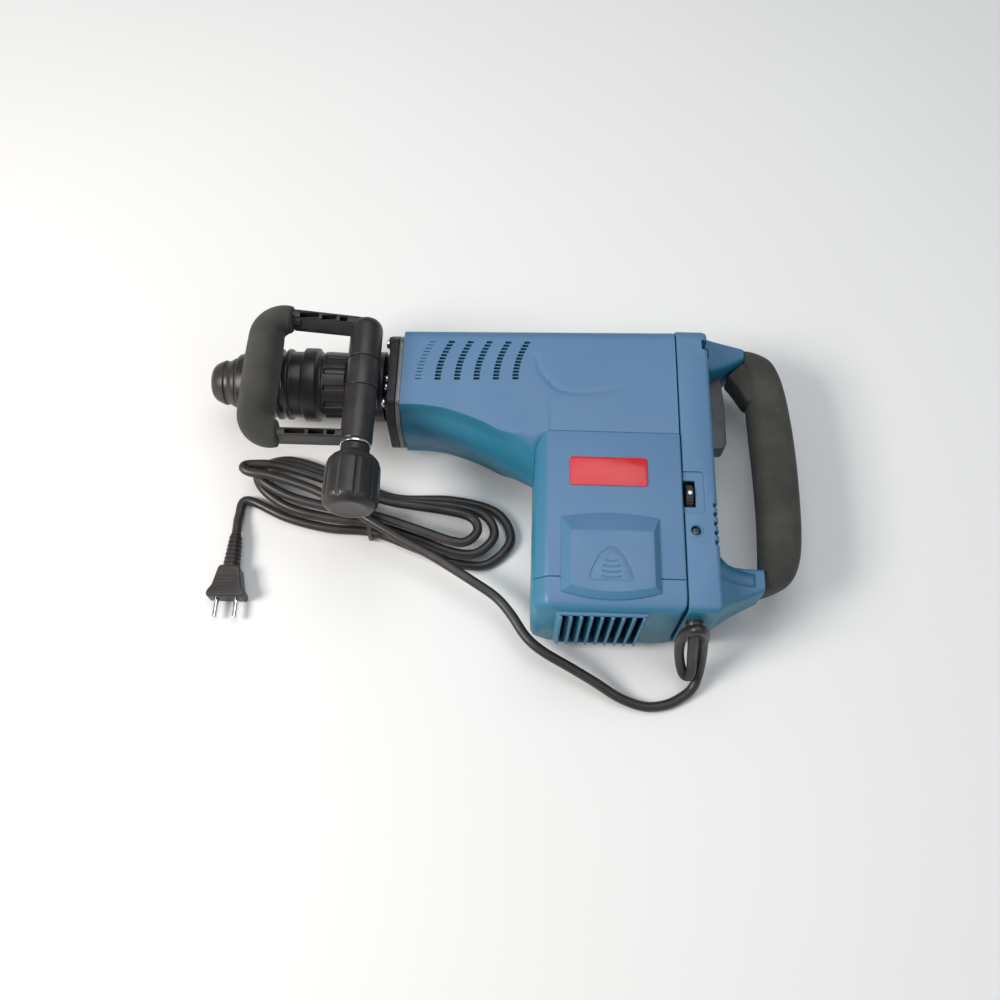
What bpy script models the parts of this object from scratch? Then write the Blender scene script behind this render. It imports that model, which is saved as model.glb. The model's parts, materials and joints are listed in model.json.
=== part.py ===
"""Electric demolition hammer with a D side handle, a rear loop handle and a coiled power cord.

The hammer lies on its right side. Origin: centre of the anvil's front face, where a chisel's
shank ends. +X runs back along the tool axis to the rear handle, -Y to the motor, +Z out of the
left side. Numbers are in millimetres and become metres in the helpers below.
"""

import math

import bmesh
import bpy
from mathutils import Matrix, Vector

MM = 0.001
GAP = 0.3  # clearance between neighbouring pieces
THICK = 3.5  # moulded wall
OBJECT_NAME = "demolition_hammer"

# Long dimensions of the casings
HOUSING_FRONT = 111.5
HOUSING_REAR = 374.0
HOUSING_HALF = 49.0  # half width of the main housing
MOTOR_HALF = 52.0
HANDLE_HALF = 50.5
CAP_FACE = 56.0  # outer face of the brush caps, on which the hammer rests
TOP_FRONT = 41.0  # the housing's top edge rises a little towards the rear
TOP_REAR = 47.0
MOTOR_FRONT = 240.3
MOTOR_TOP = -71.0
END_SEAM = -214.0
MOTOR_BOTTOM = -243.0
SWEEP_SHARES = (0.0, 0.3, 0.55, 0.75, 0.9, 1.0)  # stations of the underside's sweep

# Drive
CYLINDER_BORE = 22.3
PISTON_R = 21.9
CRANK_X = 269.0
CRANK_THROW = 22.0
ROD_LENGTH = 105.0
WRIST_X = CRANK_X - CRANK_THROW - ROD_LENGTH
GEAR_MODULE = 1.5
GEAR_TEETH = 42
PINION_TEETH = 10
MOTOR_X = CRANK_X + GEAR_MODULE * (GEAR_TEETH + PINION_TEETH) / 2
BRUSH_Y = -196.0

# Nose
NECK_R = 28.0
NECK_FRONT = 46.0
SHANK_BORE = 9.1
FLANGE_FRONT = 98.0
BUSH_BORE = 16.4
CYLINDER_OUTER = 25.5
TUBE_STEPS = 28  # the tube and its bores share their facets
BOLT_PLACES = [(27.0, 37.0), (-38.0, 36.0), (27.0, -37.0), (-38.0, -36.0)]

# Side handle
COLUMN_X = 77.0
COLUMN_Z = 62.0
COLUMN_R = 15.0
BOLT_R = 5.8
KNOB_R = 25.4
LUG_LOW = -40.3  # the clamp band's lug, between the two ends of the handle's column
LUG_HIGH = -10.0
LEG_LOW = 50.0  # the legs of the D handle stand from here to LEG_HIGH
LEG_HIGH = 70.0
D_TOP = 36.5
D_BOTTOM = -87.5
D_GRIP_X = -18.5

# Rear handle and controls
LOOP_X = 405.0  # rear face of the cover, in front of the hand's opening
ARM_HALF = 23.0
HANDLE_OUTLINE = [(374.6, TOP_REAR), (LOOP_X, TOP_REAR), (LOOP_X, -183.0), (403.0, -242.0),
                  (374.6, -242.0)]
# Sections of the upper arm: x, top, bottom, half width
UPPER_ARM = [(397.0, 47.0, 4.0, 36.0), (408.0, 47.0, 8.0, 33.0), (420.0, 47.0, 13.0, 28.0),
             (447.0, 46.0, 32.0, 19.0)]
ARM_LOWER = [(395.0, -180.0), (LOOP_X - 1.0, -183.0), (413.0, -193.0), (448.0, -190.5),
             (448.0, -212.0), (395.0, -236.0)]
CORE_OUTLINE = [(440.0, 41.0), (462.0, 33.0), (480.0, 2.0), (483.0, -72.0), (481.0, -145.0),
                (470.0, -184.0), (440.0, -204.0), (440.0, -194.0), (459.0, -180.0),
                (466.0, -140.0), (467.0, -72.0), (463.0, -6.0), (452.0, 20.0), (440.0, 34.0)]
TRIGGER_PIVOT = (401.0, 8.0)
DIAL_CENTRE = (380.3, -131.0, 39.5)
DIAL_R = 13.0

# Cord
CORD_R = 4.4
CORD_FLOOR = -CAP_FACE + CORD_R + 0.6
GROMMET = (385.0, -242.0, 18.0)
PLUG = (-51.3, -196.0, -46.0)
PIN_SPACING = 19.0
COIL_TURNS = 3
TURN_RISE = 9.6  # each turn of the coil lies on the one below
TURN_SHRINK = 0.27  # and is smaller by this share of the way to the coil's middle line
# One loop of the coil in plan, and the line its later loops shrink towards
COIL_LOOP = [(-34.0, -98.0), (-4.0, -124.0), (38.0, -134.0), (83.0, -137.0), (128.0, -153.0),
             (166.0, -167.0), (198.0, -167.0), (220.0, -141.0), (205.0, -112.0), (160.0, -100.0),
             (100.0, -99.0), (48.0, -78.0), (-6.0, -62.0), (-36.0, -74.0)]
COIL_MIDDLE = ((-25.0, -88.0), (160.0, -138.0))

FINISHES = {
    "blue": ((0.115, 0.285, 0.47), 0.45, 0.0),
    "black": ((0.03, 0.03, 0.032), 0.5, 0.0),
    "casting": ((0.02, 0.02, 0.022), 0.55, 0.4),
    "foam": ((0.035, 0.034, 0.032), 0.9, 0.0),
    "rubber": ((0.03, 0.028, 0.027), 0.75, 0.0),
    "steel": ((0.55, 0.55, 0.56), 0.3, 1.0),
    "bright": ((0.75, 0.75, 0.76), 0.18, 1.0),
    "aluminium": ((0.6, 0.61, 0.62), 0.4, 1.0),
    "iron": ((0.22, 0.22, 0.23), 0.5, 0.8),
    "copper": ((0.65, 0.33, 0.16), 0.35, 1.0),
    "carbon": ((0.06, 0.06, 0.065), 0.6, 0.1),
    "red": ((0.75, 0.03, 0.05), 0.35, 0.0),
    "board": ((0.03, 0.16, 0.07), 0.5, 0.0),
}


def clear_scene():
    for obj in list(bpy.data.objects):
        bpy.data.objects.remove(obj, do_unlink=True)


def new_collection(name, hidden):
    made = bpy.data.collections.new(name)
    bpy.context.scene.collection.children.link(made)
    made.hide_render = hidden
    return made


def add_finish(obj, finish):
    colour, roughness, metallic = FINISHES[finish]
    material = bpy.data.materials.new(f"{obj.name}_{finish}")
    material.use_nodes = True
    shader = material.node_tree.nodes["Principled BSDF"]
    shader.inputs["Base Color"].default_value = (*colour, 1.0)
    shader.inputs["Roughness"].default_value = roughness
    shader.inputs["Metallic"].default_value = metallic
    obj.data.materials.clear()
    obj.data.materials.append(material)


def register(obj, finish, pivot=None):
    """Put a piece in the parts collection, or a cutter (finish None) among the helpers."""
    if finish is None:
        helpers.objects.link(obj)
        obj.hide_render = True
        obj.display_type = "WIRE"
    else:
        parts.objects.link(obj)
        add_finish(obj, finish)
    if pivot is not None:
        obj.parent = pivot
        obj.location -= pivot.location
    return obj


def pivot_at(name, place):
    """An empty on a joint's axis; the pieces that move with the joint hang from it."""
    empty = bpy.data.objects.new(name, None)
    empty.location = Vector(place) * MM
    empty.empty_display_size = 0.02
    parts.objects.link(empty)
    return empty


def mesh_object(name, bm, place=(0.0, 0.0, 0.0)):
    mesh = bpy.data.meshes.new(name)
    bm.to_mesh(mesh)
    bm.free()
    obj = bpy.data.objects.new(name, mesh)
    obj.location = Vector(place) * MM
    return obj


def smooth(obj, degrees=35):
    obj.data.shade_smooth()
    obj.data.set_sharp_from_angle(angle=math.radians(degrees))


def block(name, low, high, finish, pivot=None, bevel=0.0):
    """A box between two corners."""
    size = [b - a for a, b in zip(low, high)]
    middle = [(a + b) / 2 for a, b in zip(low, high)]
    bm = bmesh.new()
    bmesh.ops.create_cube(bm, size=1.0)
    bmesh.ops.scale(bm, vec=Vector(size) * MM, verts=bm.verts)
    obj = register(mesh_object(name, bm, middle), finish, pivot)
    if bevel:
        round_edges(obj, bevel, 2)
    return obj


def round_edges(obj, width, segments=2, degrees=40):
    bevel = obj.modifiers.new("rounded", "BEVEL")
    bevel.width = width * MM
    bevel.segments = segments
    bevel.limit_method = "ANGLE"
    bevel.angle_limit = math.radians(degrees)
    return bevel


AXIS_TURN = {"X": (0.0, math.pi / 2, 0.0), "Y": (-math.pi / 2, 0.0, 0.0), "Z": (0.0, 0.0, 0.0)}


def turned(name, profile, finish, axis="X", place=(0.0, 0.0, 0.0), pivot=None, steps=20):
    """A turned piece: profile holds (position along the axis, radius) points of half its section."""
    points = [(radius, along) for along, radius in profile]
    area = sum(a[0] * b[1] - b[0] * a[1] for a, b in zip(points, points[1:] + points[:1]))
    if area > 0:
        points.reverse()
    solid = points[0][0] == 0.0 or points[-1][0] == 0.0
    bm = bmesh.new()
    made = [bm.verts.new((radius * MM, 0.0, along * MM)) for radius, along in points]
    for a, b in zip(made, made[1:]):
        bm.edges.new((a, b))
    if not solid:
        bm.edges.new((made[-1], made[0]))
    obj = register(mesh_object(name, bm, place), finish, pivot)
    obj.rotation_euler = AXIS_TURN[axis]
    screw = obj.modifiers.new("turned", "SCREW")
    screw.steps = steps
    screw.render_steps = steps
    screw.use_merge_vertices = True
    screw.merge_threshold = 0.00001
    screw.use_smooth_shade = True
    return obj


def ring(name, start, end, inner, outer, finish, axis="X", place=(0.0, 0.0, 0.0), pivot=None,
         steps=20):
    profile = [(start, inner), (start, outer), (end, outer), (end, inner)]
    return turned(name, profile, finish, axis, place, pivot, steps)


def rod(name, start, end, radius, finish, axis="X", place=(0.0, 0.0, 0.0), pivot=None, steps=16,
        chamfer=0.0):
    if chamfer:
        profile = [(start, 0.0), (start, radius - chamfer), (start + chamfer, radius),
                   (end - chamfer, radius), (end, radius - chamfer), (end, 0.0)]
    else:
        profile = [(start, 0.0), (start, radius), (end, radius), (end, 0.0)]
    return turned(name, profile, finish, axis, place, pivot, steps)


def mesh_from_curve(curve_object):
    """A new mesh of the curve's evaluated shape, with its caps welded to its sides."""
    bpy.context.scene.collection.objects.link(curve_object)
    bpy.context.view_layer.update()
    graph = bpy.context.evaluated_depsgraph_get()
    mesh = bpy.data.meshes.new_from_object(curve_object.evaluated_get(graph))
    place = curve_object.matrix_world.copy()
    name = curve_object.name
    bpy.data.objects.remove(curve_object, do_unlink=True)
    mesh.name = name
    bm = bmesh.new()
    bm.from_mesh(mesh)
    bmesh.ops.remove_doubles(bm, verts=bm.verts, dist=0.00001)
    bmesh.ops.recalc_face_normals(bm, faces=bm.faces)
    bm.to_mesh(mesh)
    bm.free()
    obj = bpy.data.objects.new(name, mesh)
    obj.matrix_world = place
    return obj


PLATE_TURN = {"Z": Matrix.Identity(4), "Y": Matrix.Rotation(math.pi / 2, 4, "X"),
              "X": Matrix.Rotation(math.pi / 2, 4, "Z") @ Matrix.Rotation(math.pi / 2, 4, "X")}


def plate(name, outline, low, high, finish, axis="Z", pivot=None):
    """A flat outline thickened from low to high along the axis.

    The outline is (x, y) for axis Z, (x, z) for axis Y and (y, z) for axis X.
    """
    curve = bpy.data.curves.new(name, "CURVE")
    curve.dimensions = "2D"
    curve.fill_mode = "BOTH"
    curve.extrude = (high - low) / 2 * MM
    spline = curve.splines.new("POLY")
    spline.points.add(len(outline) - 1)
    for point, (a, b) in zip(spline.points, outline):
        point.co = (a * MM, b * MM, 0.0, 1.0)
    spline.use_cyclic_u = True
    carrier = bpy.data.objects.new(name, curve)
    middle = (low + high) / 2 * MM
    shift = {"X": (middle, 0, 0), "Y": (0, middle, 0), "Z": (0, 0, middle)}[axis]
    carrier.matrix_world = Matrix.Translation(shift) @ PLATE_TURN[axis]
    return register(mesh_from_curve(carrier), finish, pivot)


def tube_along(name, points, radius, finish, pivot=None, resolution=2):
    """A round bar along a list of points, as a mesh. The radius may be a list, one for each."""
    return register(mesh_from_curve(wire_curve(name, points, radius, resolution)), finish, pivot)


def wire_curve(name, points, radius, resolution=2):
    curve = bpy.data.curves.new(name, "CURVE")
    curve.dimensions = "3D"
    radii = radius if isinstance(radius, list) else [radius] * len(points)
    curve.bevel_depth = MM
    curve.bevel_resolution = resolution
    curve.use_fill_caps = True
    spline = curve.splines.new("POLY")
    spline.points.add(len(points) - 1)
    for point, place, width in zip(spline.points, points, radii):
        point.co = (*(Vector(place) * MM), 1.0)
        point.radius = width
    return bpy.data.objects.new(name, curve)


def boolean(target, helper, operation="DIFFERENCE", solver="EXACT"):
    modifier = target.modifiers.new(f"{operation.lower()}_{helper.name}", "BOOLEAN")
    modifier.operation = operation
    modifier.object = helper
    modifier.solver = solver
    return target


def join(target, *helpers_to_join, solver="EXACT"):
    for helper in helpers_to_join:
        boolean(target, helper, "UNION", solver)
    return target


def carve(target, *cutters, solver="EXACT"):
    for cutter in cutters:
        boolean(target, cutter, "DIFFERENCE", solver)
    return target


def round_corner(centre, radius, start, end, count=5):
    """Points on an arc, angles in degrees."""
    angles = [math.radians(start + (end - start) * i / (count - 1)) for i in range(count)]
    return [(centre[0] + radius * math.cos(a), centre[1] + radius * math.sin(a)) for a in angles]


def helix(centre, radius, start, end, turns, axis, per_turn=10):
    """Points of a coil spring along X or Y."""
    count = int(turns * per_turn)
    made = []
    for i in range(count + 1):
        angle = 2 * math.pi * i / per_turn
        along = start + (end - start) * i / count
        a = radius * math.cos(angle)
        b = radius * math.sin(angle)
        if axis == "X":
            made.append((along, centre[0] + a, centre[1] + b))
        else:
            made.append((centre[0] + a, along, centre[1] + b))
    return made


def gear_outline(teeth, phase=0.0):
    """Outline of a spur gear with tapered teeth and generous backlash."""
    pitch_r = teeth * GEAR_MODULE / 2
    step = 2 * math.pi / teeth
    made = []
    for tooth in range(teeth):
        middle = phase + tooth * step
        for radius, share in ((pitch_r - 1.6, -0.2), (pitch_r + 1.0, -0.09),
                              (pitch_r + 1.0, 0.09), (pitch_r - 1.6, 0.2)):
            angle = middle + share * step
            made.append((radius * math.cos(angle), radius * math.sin(angle)))
    return made


# --- Casings -------------------------------------------------------------------------------------


def sweep_depth(x):
    """Y of the main housing's underside, which sweeps down into the motor block."""
    share = max(0.0, (x - HOUSING_FRONT) / (MOTOR_FRONT - HOUSING_FRONT))
    return -60.0 - 42.0 * share**2.2


def housing_section(x, bottom, inset, flank):
    """Section across the main housing: rounded top edges, flat sides, chamfered flanks below."""
    share = (x - HOUSING_FRONT) / (HOUSING_REAR - HOUSING_FRONT)
    top = TOP_FRONT + (TOP_REAR - TOP_FRONT) * share - inset
    half = HOUSING_HALF - inset
    corner = 14.0 - inset
    crease = bottom + inset + flank
    keel = 14.0 if flank > 0.5 else half - 0.5
    right = [(crease, half), *round_corner((top - corner, half - corner), corner, 90, 0, 4)]
    one_side = [(bottom + inset, keel), *right]
    return [(x, y, z) for y, z in one_side] + [(x, y, -z) for y, z in reversed(one_side)]


def loft(name, sections, finish):
    """A closed body through sections that have the same number of points."""
    bm = bmesh.new()
    rings = [[bm.verts.new(Vector(point) * MM) for point in section] for section in sections]
    for first, second in zip(rings, rings[1:]):
        for i, vertex in enumerate(first):
            after = (i + 1) % len(first)
            bm.faces.new((vertex, first[after], second[after], second[i]))
    bm.faces.new(rings[0])
    bm.faces.new(rings[-1])
    bmesh.ops.remove_doubles(bm, verts=bm.verts, dist=0.00001)
    bmesh.ops.recalc_face_normals(bm, faces=bm.faces)
    return register(mesh_object(name, bm), finish)


def half_space(name, side, extent=60.0):
    low, high = (0.15, extent) if side > 0 else (-extent, -0.15)
    return block(name, (-200.0, -350.0, low), (600.0, 150.0, high), None)


def main_shell(side):
    """Half of the housing over the gears, with a sweep down into the motor block."""
    word = "left" if side > 0 else "right"
    knee = MOTOR_FRONT - GAP
    front_xs = [HOUSING_FRONT + (knee - HOUSING_FRONT) * share for share in SWEEP_SHARES]
    outer = [housing_section(x, sweep_depth(x), 0.0, 11.0) for x in front_xs]
    outer += [housing_section(knee, MOTOR_TOP, 0.0, 0.4),
              housing_section(HOUSING_REAR, MOTOR_TOP, 0.0, 0.4)]
    shell = loft(f"main_shell_{word}", outer, "blue")
    inner_knee = knee - THICK
    inner_xs = [HOUSING_FRONT + (inner_knee - HOUSING_FRONT) * share for share in SWEEP_SHARES]
    inner = [housing_section(x, sweep_depth(x), THICK, 11.0) for x in inner_xs]
    inner.insert(0, [(x - 8.0, y, z) for x, y, z in inner[0]])
    mouth = MOTOR_FRONT + THICK
    inner += [housing_section(inner_knee, MOTOR_TOP, THICK, 0.4),
              housing_section(mouth, MOTOR_TOP, THICK, 0.4),
              housing_section(mouth, MOTOR_TOP - 12.0, THICK, 0.4),
              housing_section(HOUSING_REAR + 8.0, MOTOR_TOP - 12.0, THICK, 0.4)]
    hollow = loft(f"main_hollow_{word}", inner, None)
    carve(shell, hollow, solver="MANIFOLD")
    boolean(shell, half_space(f"main_half_{word}", side), "INTERSECT", "MANIFOLD")
    smooth(shell)


def motor_outline(inset):
    """Section of the motor block seen along Y: its front corners are chamfered round."""
    half = MOTOR_HALF - inset
    front = MOTOR_FRONT + inset
    rear = HOUSING_REAR - inset
    corner = 11.0 - inset
    upper = round_corner((front + corner, half - corner), corner, 180, 90, 4)
    lower = round_corner((front + corner, -half + corner), corner, 270, 180, 4)
    return [(rear, -half), *lower, *upper, (rear, half)]


def motor_housing():
    shell = plate("motor_housing", motor_outline(0.0), END_SEAM, MOTOR_TOP - GAP, "blue", "Y")
    hollow = plate("motor_hollow", motor_outline(THICK), END_SEAM - 5.0, MOTOR_TOP + 5.0, None, "Y")
    return smooth(carve(shell, hollow))


def end_cover():
    """The motor's lower end cover, with its raised intake grille and a boss for the bearing."""
    cover = plate("motor_end_cover", motor_outline(0.0), MOTOR_BOTTOM, END_SEAM - GAP, "blue", "Y")
    hollow = plate("end_hollow", motor_outline(THICK), MOTOR_BOTTOM + THICK, END_SEAM + 5.0, None,
                   "Y")
    raised = [(264.0, -34.0), (336.0, -34.0), (336.0, 34.0), (264.0, 34.0)]
    grille = plate("grille_boss", raised, MOTOR_BOTTOM - 6.0, MOTOR_BOTTOM + 1.5, None, "Y")
    boss = ring("bearing_boss", MOTOR_BOTTOM + 2.0, -205.0, 11.3, 15.0, None, "Y",
                (MOTOR_X, 0.0, 0.0))
    carve(cover, hollow)
    join(cover, grille, boss)
    slots = [block(f"intake_slot_{i}", (268.0 + 10.0 * i, -260.0, -29.0),
                   (272.5 + 10.0 * i, -236.0, 29.0), None) for i in (0, 1, 2, 5, 6)]
    carve(cover, *slots)


def brush_cap(side):
    word = "left" if side > 0 else "right"
    top = round_corner((307.7, -420.0), 260.3, 99.6, 80.4, 7)
    bottom = round_corner((307.7, -60.0), 171.5, -75.3, -104.7, 7)
    low, high = sorted((side * (MOTOR_HALF + GAP), side * CAP_FACE))
    cap = plate(f"brush_cap_{word}", top + bottom, low, high, "blue")
    round_edges(cap, 1.2, 1)


def badge():
    corner = 3.0
    x0, x1, y0, y1 = 272.0, 342.5, -126.5, -98.0
    outline = [*round_corner((x1 - corner, y1 - corner), corner, 90, 0, 3),
               *round_corner((x1 - corner, y0 + corner), corner, 0, -90, 3),
               *round_corner((x0 + corner, y0 + corner), corner, -90, -180, 3),
               *round_corner((x0 + corner, y1 - corner), corner, -180, -270, 3)]
    plate("badge", outline, MOTOR_HALF + GAP, MOTOR_HALF + 0.9, "red")


def handle_shell(side):
    """Half of the rear handle: a hollow back cover, two arms and the bar inside the soft grip."""
    word = "left" if side > 0 else "right"
    shell = plate(f"handle_shell_{word}", HANDLE_OUTLINE, -HANDLE_HALF, HANDLE_HALF, "blue")
    half, top, corner = HANDLE_HALF, TOP_REAR, 13.0
    form_line = [(-242.0, half), *round_corner((top - corner, half - corner), corner, 90, 0, 4),
                 *round_corner((top - corner, corner - half), corner, 0, -90, 4), (-242.0, -half)]
    form = plate(f"handle_form_{word}", form_line, 360.0, 520.0, None, "X")
    hollow = block(f"handle_hollow_{word}", (370.0, -238.0, -HANDLE_HALF + THICK),
                   (LOOP_X - THICK, 34.0, HANDLE_HALF - THICK), None)
    rings = [[(x, high, wide), (x, low, wide), (x, low, -wide), (x, high, -wide)]
             for x, high, low, wide in UPPER_ARM]
    upper = loft(f"upper_arm_{word}", rings, None)
    lower = plate(f"lower_arm_{word}", ARM_LOWER, -ARM_HALF, ARM_HALF, None)
    core = plate(f"grip_bar_{word}", CORE_OUTLINE, -8.0, 8.0, None)
    round_edges(upper, 4.0, 2, 60)
    round_edges(lower, 5.0, 2, 60)
    boolean(shell, form, "INTERSECT", "MANIFOLD")
    join(shell, upper, lower, core, solver="MANIFOLD")
    slot = block(f"trigger_slot_{word}", (390.0, -70.0, -11.0), (429.0, 20.5, 11.0), None)
    carve(shell, hollow, slot, solver="MANIFOLD")
    if side > 0:
        x, y, z = DIAL_CENTRE
        dial_slot = block("dial_slot", (x - 4.8, y - 12.0, z), (x + 4.8, y + 12.0, 60.0), None)
        screw_seat = rod("screw_seat", 44.0, 60.0, 4.0, None, "Z", (384.5, -167.0, 0.0), steps=16)
        cord_hole = rod("cord_hole", -250.0, -230.0, 8.3, None, "Y", (GROMMET[0], 0.0, GROMMET[2]))
        carve(shell, dial_slot, screw_seat, cord_hole, solver="MANIFOLD")
    boolean(shell, half_space(f"handle_half_{word}", side), "INTERSECT", "MANIFOLD")


def rear_grip():
    """Soft grip around the bar of the rear handle."""
    outer = [(447.5, 47.0), (464.0, 46.0), (478.5, 37.0), (486.5, 16.0), (491.0, -8.0),
             (493.5, -72.0), (492.5, -136.0), (488.0, -178.0), (477.0, -198.0), (449.5, -211.0),
             (449.5, -186.0), (451.0, -150.0), (452.0, -116.0), (450.0, -51.0), (448.0, 5.0)]
    grip = plate("rear_grip", outer, -18.5, 18.5, "foam")
    round_edges(grip, 9.0, 3, 25)
    grown = grow_outline(CORE_OUTLINE, GAP)
    hole = plate("grip_tunnel", grown, -8.3, 8.3, None)
    carve(grip, hole)
    smooth(grip)


def grow_outline(outline, distance):
    """The outline moved outwards by a distance, corner by corner."""
    area = sum(a[0] * b[1] - b[0] * a[1] for a, b in zip(outline, outline[1:] + outline[:1]))
    sign = 1.0 if area > 0 else -1.0
    made = []
    for i, here in enumerate(outline):
        before = Vector(outline[i - 1])
        after = Vector(outline[(i + 1) % len(outline)])
        here = Vector(here)
        along_in = (here - before).normalized()
        along_out = (after - here).normalized()
        normal_in = Vector((along_in.y, -along_in.x)) * sign
        normal_out = Vector((along_out.y, -along_out.x)) * sign
        middle = (normal_in + normal_out).normalized()
        reach = distance / max(0.3, middle.dot(normal_in))
        made.append(tuple(here + middle * reach))
    return made


# --- Front: casting, gear housing, bolts ---------------------------------------------------------

def front_cover():
    """Barrel casting: a neck that guides the tool holder, and a flange bolted to the housing."""
    half = HOUSING_HALF - 2.0
    outline = [(TOP_FRONT - 1.5, -half + 12.0), (TOP_FRONT - 14.0, -half), (-48.0, -half),
               (-60.0, -14.0), (-60.0, 14.0), (-48.0, half), (TOP_FRONT - 14.0, half),
               (TOP_FRONT - 1.5, half - 12.0)]
    cover = plate("front_cover", outline, FLANGE_FRONT, HOUSING_FRONT - GAP, "casting", "X")
    neck = turned("neck", [(NECK_FRONT, 0.0), (NECK_FRONT, NECK_R - 2.0),
                           (NECK_FRONT + 2.0, NECK_R), (92.0, NECK_R), (FLANGE_FRONT, 34.0),
                           (FLANGE_FRONT + 2.0, 34.0), (FLANGE_FRONT + 2.0, 0.0)], None)
    bush = rod("bush_bore", 40.0, 62.0, BUSH_BORE, None)
    bore = rod("tube_bore", 59.0, 120.0, CYLINDER_OUTER + GAP, None, steps=TUBE_STEPS)
    join(cover, neck)
    carve(cover, bush, bore)
    for i, (y, z) in enumerate(BOLT_PLACES):
        carve(cover, rod(f"bolt_hole_{i}", 90.0, 120.0, 3.0, None, "X", (0.0, y, z), steps=12))
    smooth(cover)


def flange_bolts():
    for i, (y, z) in enumerate(BOLT_PLACES, 1):
        profile = [(93.5, 0.0), (93.5, 3.6), (94.3, 4.4), (FLANGE_FRONT - GAP, 4.4),
                   (FLANGE_FRONT - GAP, 2.6), (HOUSING_FRONT - 1.0, 2.6),
                   (HOUSING_FRONT - 1.0, 0.0)]
        bolt = turned(f"flange_bolt_{i}", profile, "bright", "X", (0.0, y, z), steps=12)
        socket = rod(f"bolt_socket_{i}", 92.0, 96.5, 2.2, None, "X", (0.0, y, z), steps=6)
        carve(bolt, socket)


def gear_housing():
    """Cast crankcase: a bore for the cylinder tube and a floor plate with two bearing seats."""
    half = 38.0
    outline = [(HOUSING_FRONT, 30.0), (345.0, 30.0), (345.0, -67.0), (228.0, -67.0),
               (212.0, -45.0), (HOUSING_FRONT, -45.0)]
    case = plate("gear_housing", outline, -half, half, "aluminium")
    cavity_line = [(150.0, 26.0), (341.0, 26.0), (341.0, -60.0), (233.0, -60.0),
                   (217.0, -41.0), (150.0, -41.0)]
    cavity = plate("gear_cavity", cavity_line, -half + 4.0, half - 4.0, None)
    bore = rod("cylinder_bore", 100.0, 160.0, CYLINDER_OUTER + GAP, None, steps=TUBE_STEPS)
    motor_seat = rod("motor_seat", -80.0, -50.0, 13.0 + GAP, None, "Y", (MOTOR_X, 0.0, 0.0))
    crank_seat = rod("crank_seat", -80.0, -50.0, 15.0 + GAP, None, "Y", (CRANK_X, 0.0, 0.0))
    carve(case, cavity, bore, motor_seat, crank_seat)


# --- Hammer mechanism ----------------------------------------------------------------------------


def cylinder_and_piston(piston_pivot):
    ring("cylinder_tube", 60.0, 196.0, CYLINDER_BORE, CYLINDER_OUTER, "steel", steps=TUBE_STEPS)
    front = WRIST_X - 20.0
    profile = [(front, 0.0), (front, PISTON_R - 1.0), (front + 1.0, PISTON_R),
               (front + 7.0, PISTON_R), (front + 7.0, 19.0), (front + 11.0, 19.0),
               (front + 11.0, PISTON_R), (front + 35.0, PISTON_R), (front + 35.0, 0.0)]
    at_pin = (WRIST_X, 0.0, 0.0)
    local = [(along - WRIST_X, radius) for along, radius in profile]
    piston = turned("piston", local, "aluminium", "X", at_pin, piston_pivot, steps=24)
    fork = block("piston_fork", (WRIST_X - 11.5, -7.5, -13.0), (WRIST_X + 30.0, 7.5, 13.0), None,
                 piston_pivot)
    bore = rod("piston_pin_bore", -30.0, 30.0, 5.0 + GAP, None, "Y", at_pin, piston_pivot)
    carve(piston, fork, bore)
    ring("piston_ring", front + 7.4 - WRIST_X, front + 10.6 - WRIST_X, 19.3, PISTON_R + 0.2,
         "rubber", "X", at_pin, piston_pivot)
    rod("wrist_pin", -19.0, 19.0, 5.0, "steel", "Y", at_pin, piston_pivot)


def connecting_rod(rod_pivot):
    """Rod from the wrist pin towards the crank; its big end hangs just clear of the crank pin."""
    at_pin = (WRIST_X, 0.0, 0.0)
    arm = rod("connecting_rod", -6.0, 6.0, 10.0, "steel", "Y", at_pin, rod_pivot)
    shank = block("rod_shank", (WRIST_X + 7.0, -4.5, -6.0),
                  (WRIST_X + ROD_LENGTH - 8.0, 4.5, 6.0), None, rod_pivot)
    big_end = rod("rod_big_end", -5.8, 5.8, 11.0, None, "Y",
                  (WRIST_X + ROD_LENGTH, 0.0, 0.0), rod_pivot)
    small_hole = rod("rod_small_hole", -9.0, 9.0, 5.0 + GAP, None, "Y", at_pin, rod_pivot)
    big_hole = rod("rod_big_hole", -9.0, 9.0, 7.0 + GAP, None, "Y",
                   (WRIST_X + ROD_LENGTH, 0.0, 0.0), rod_pivot)
    join(arm, shank, big_end)
    carve(arm, small_hole, big_hole)


def striker(pivot):
    profile = [(66.0, 0.0), (66.0, 10.0), (67.5, 12.0), (77.0, 12.0), (78.0, PISTON_R),
               (88.0, PISTON_R), (88.0, 19.0), (92.0, 19.0), (92.0, PISTON_R), (107.0, PISTON_R),
               (108.0, PISTON_R - 1.0), (108.0, 0.0)]
    local = [(along - 66.0, radius) for along, radius in profile]
    turned("striker", local, "steel", "X", (66.0, 0.0, 0.0), pivot)
    ring("striker_ring", 88.4 - 66.0, 91.6 - 66.0, 19.3, PISTON_R + 0.2, "rubber", "X",
         (66.0, 0.0, 0.0), pivot)


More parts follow.
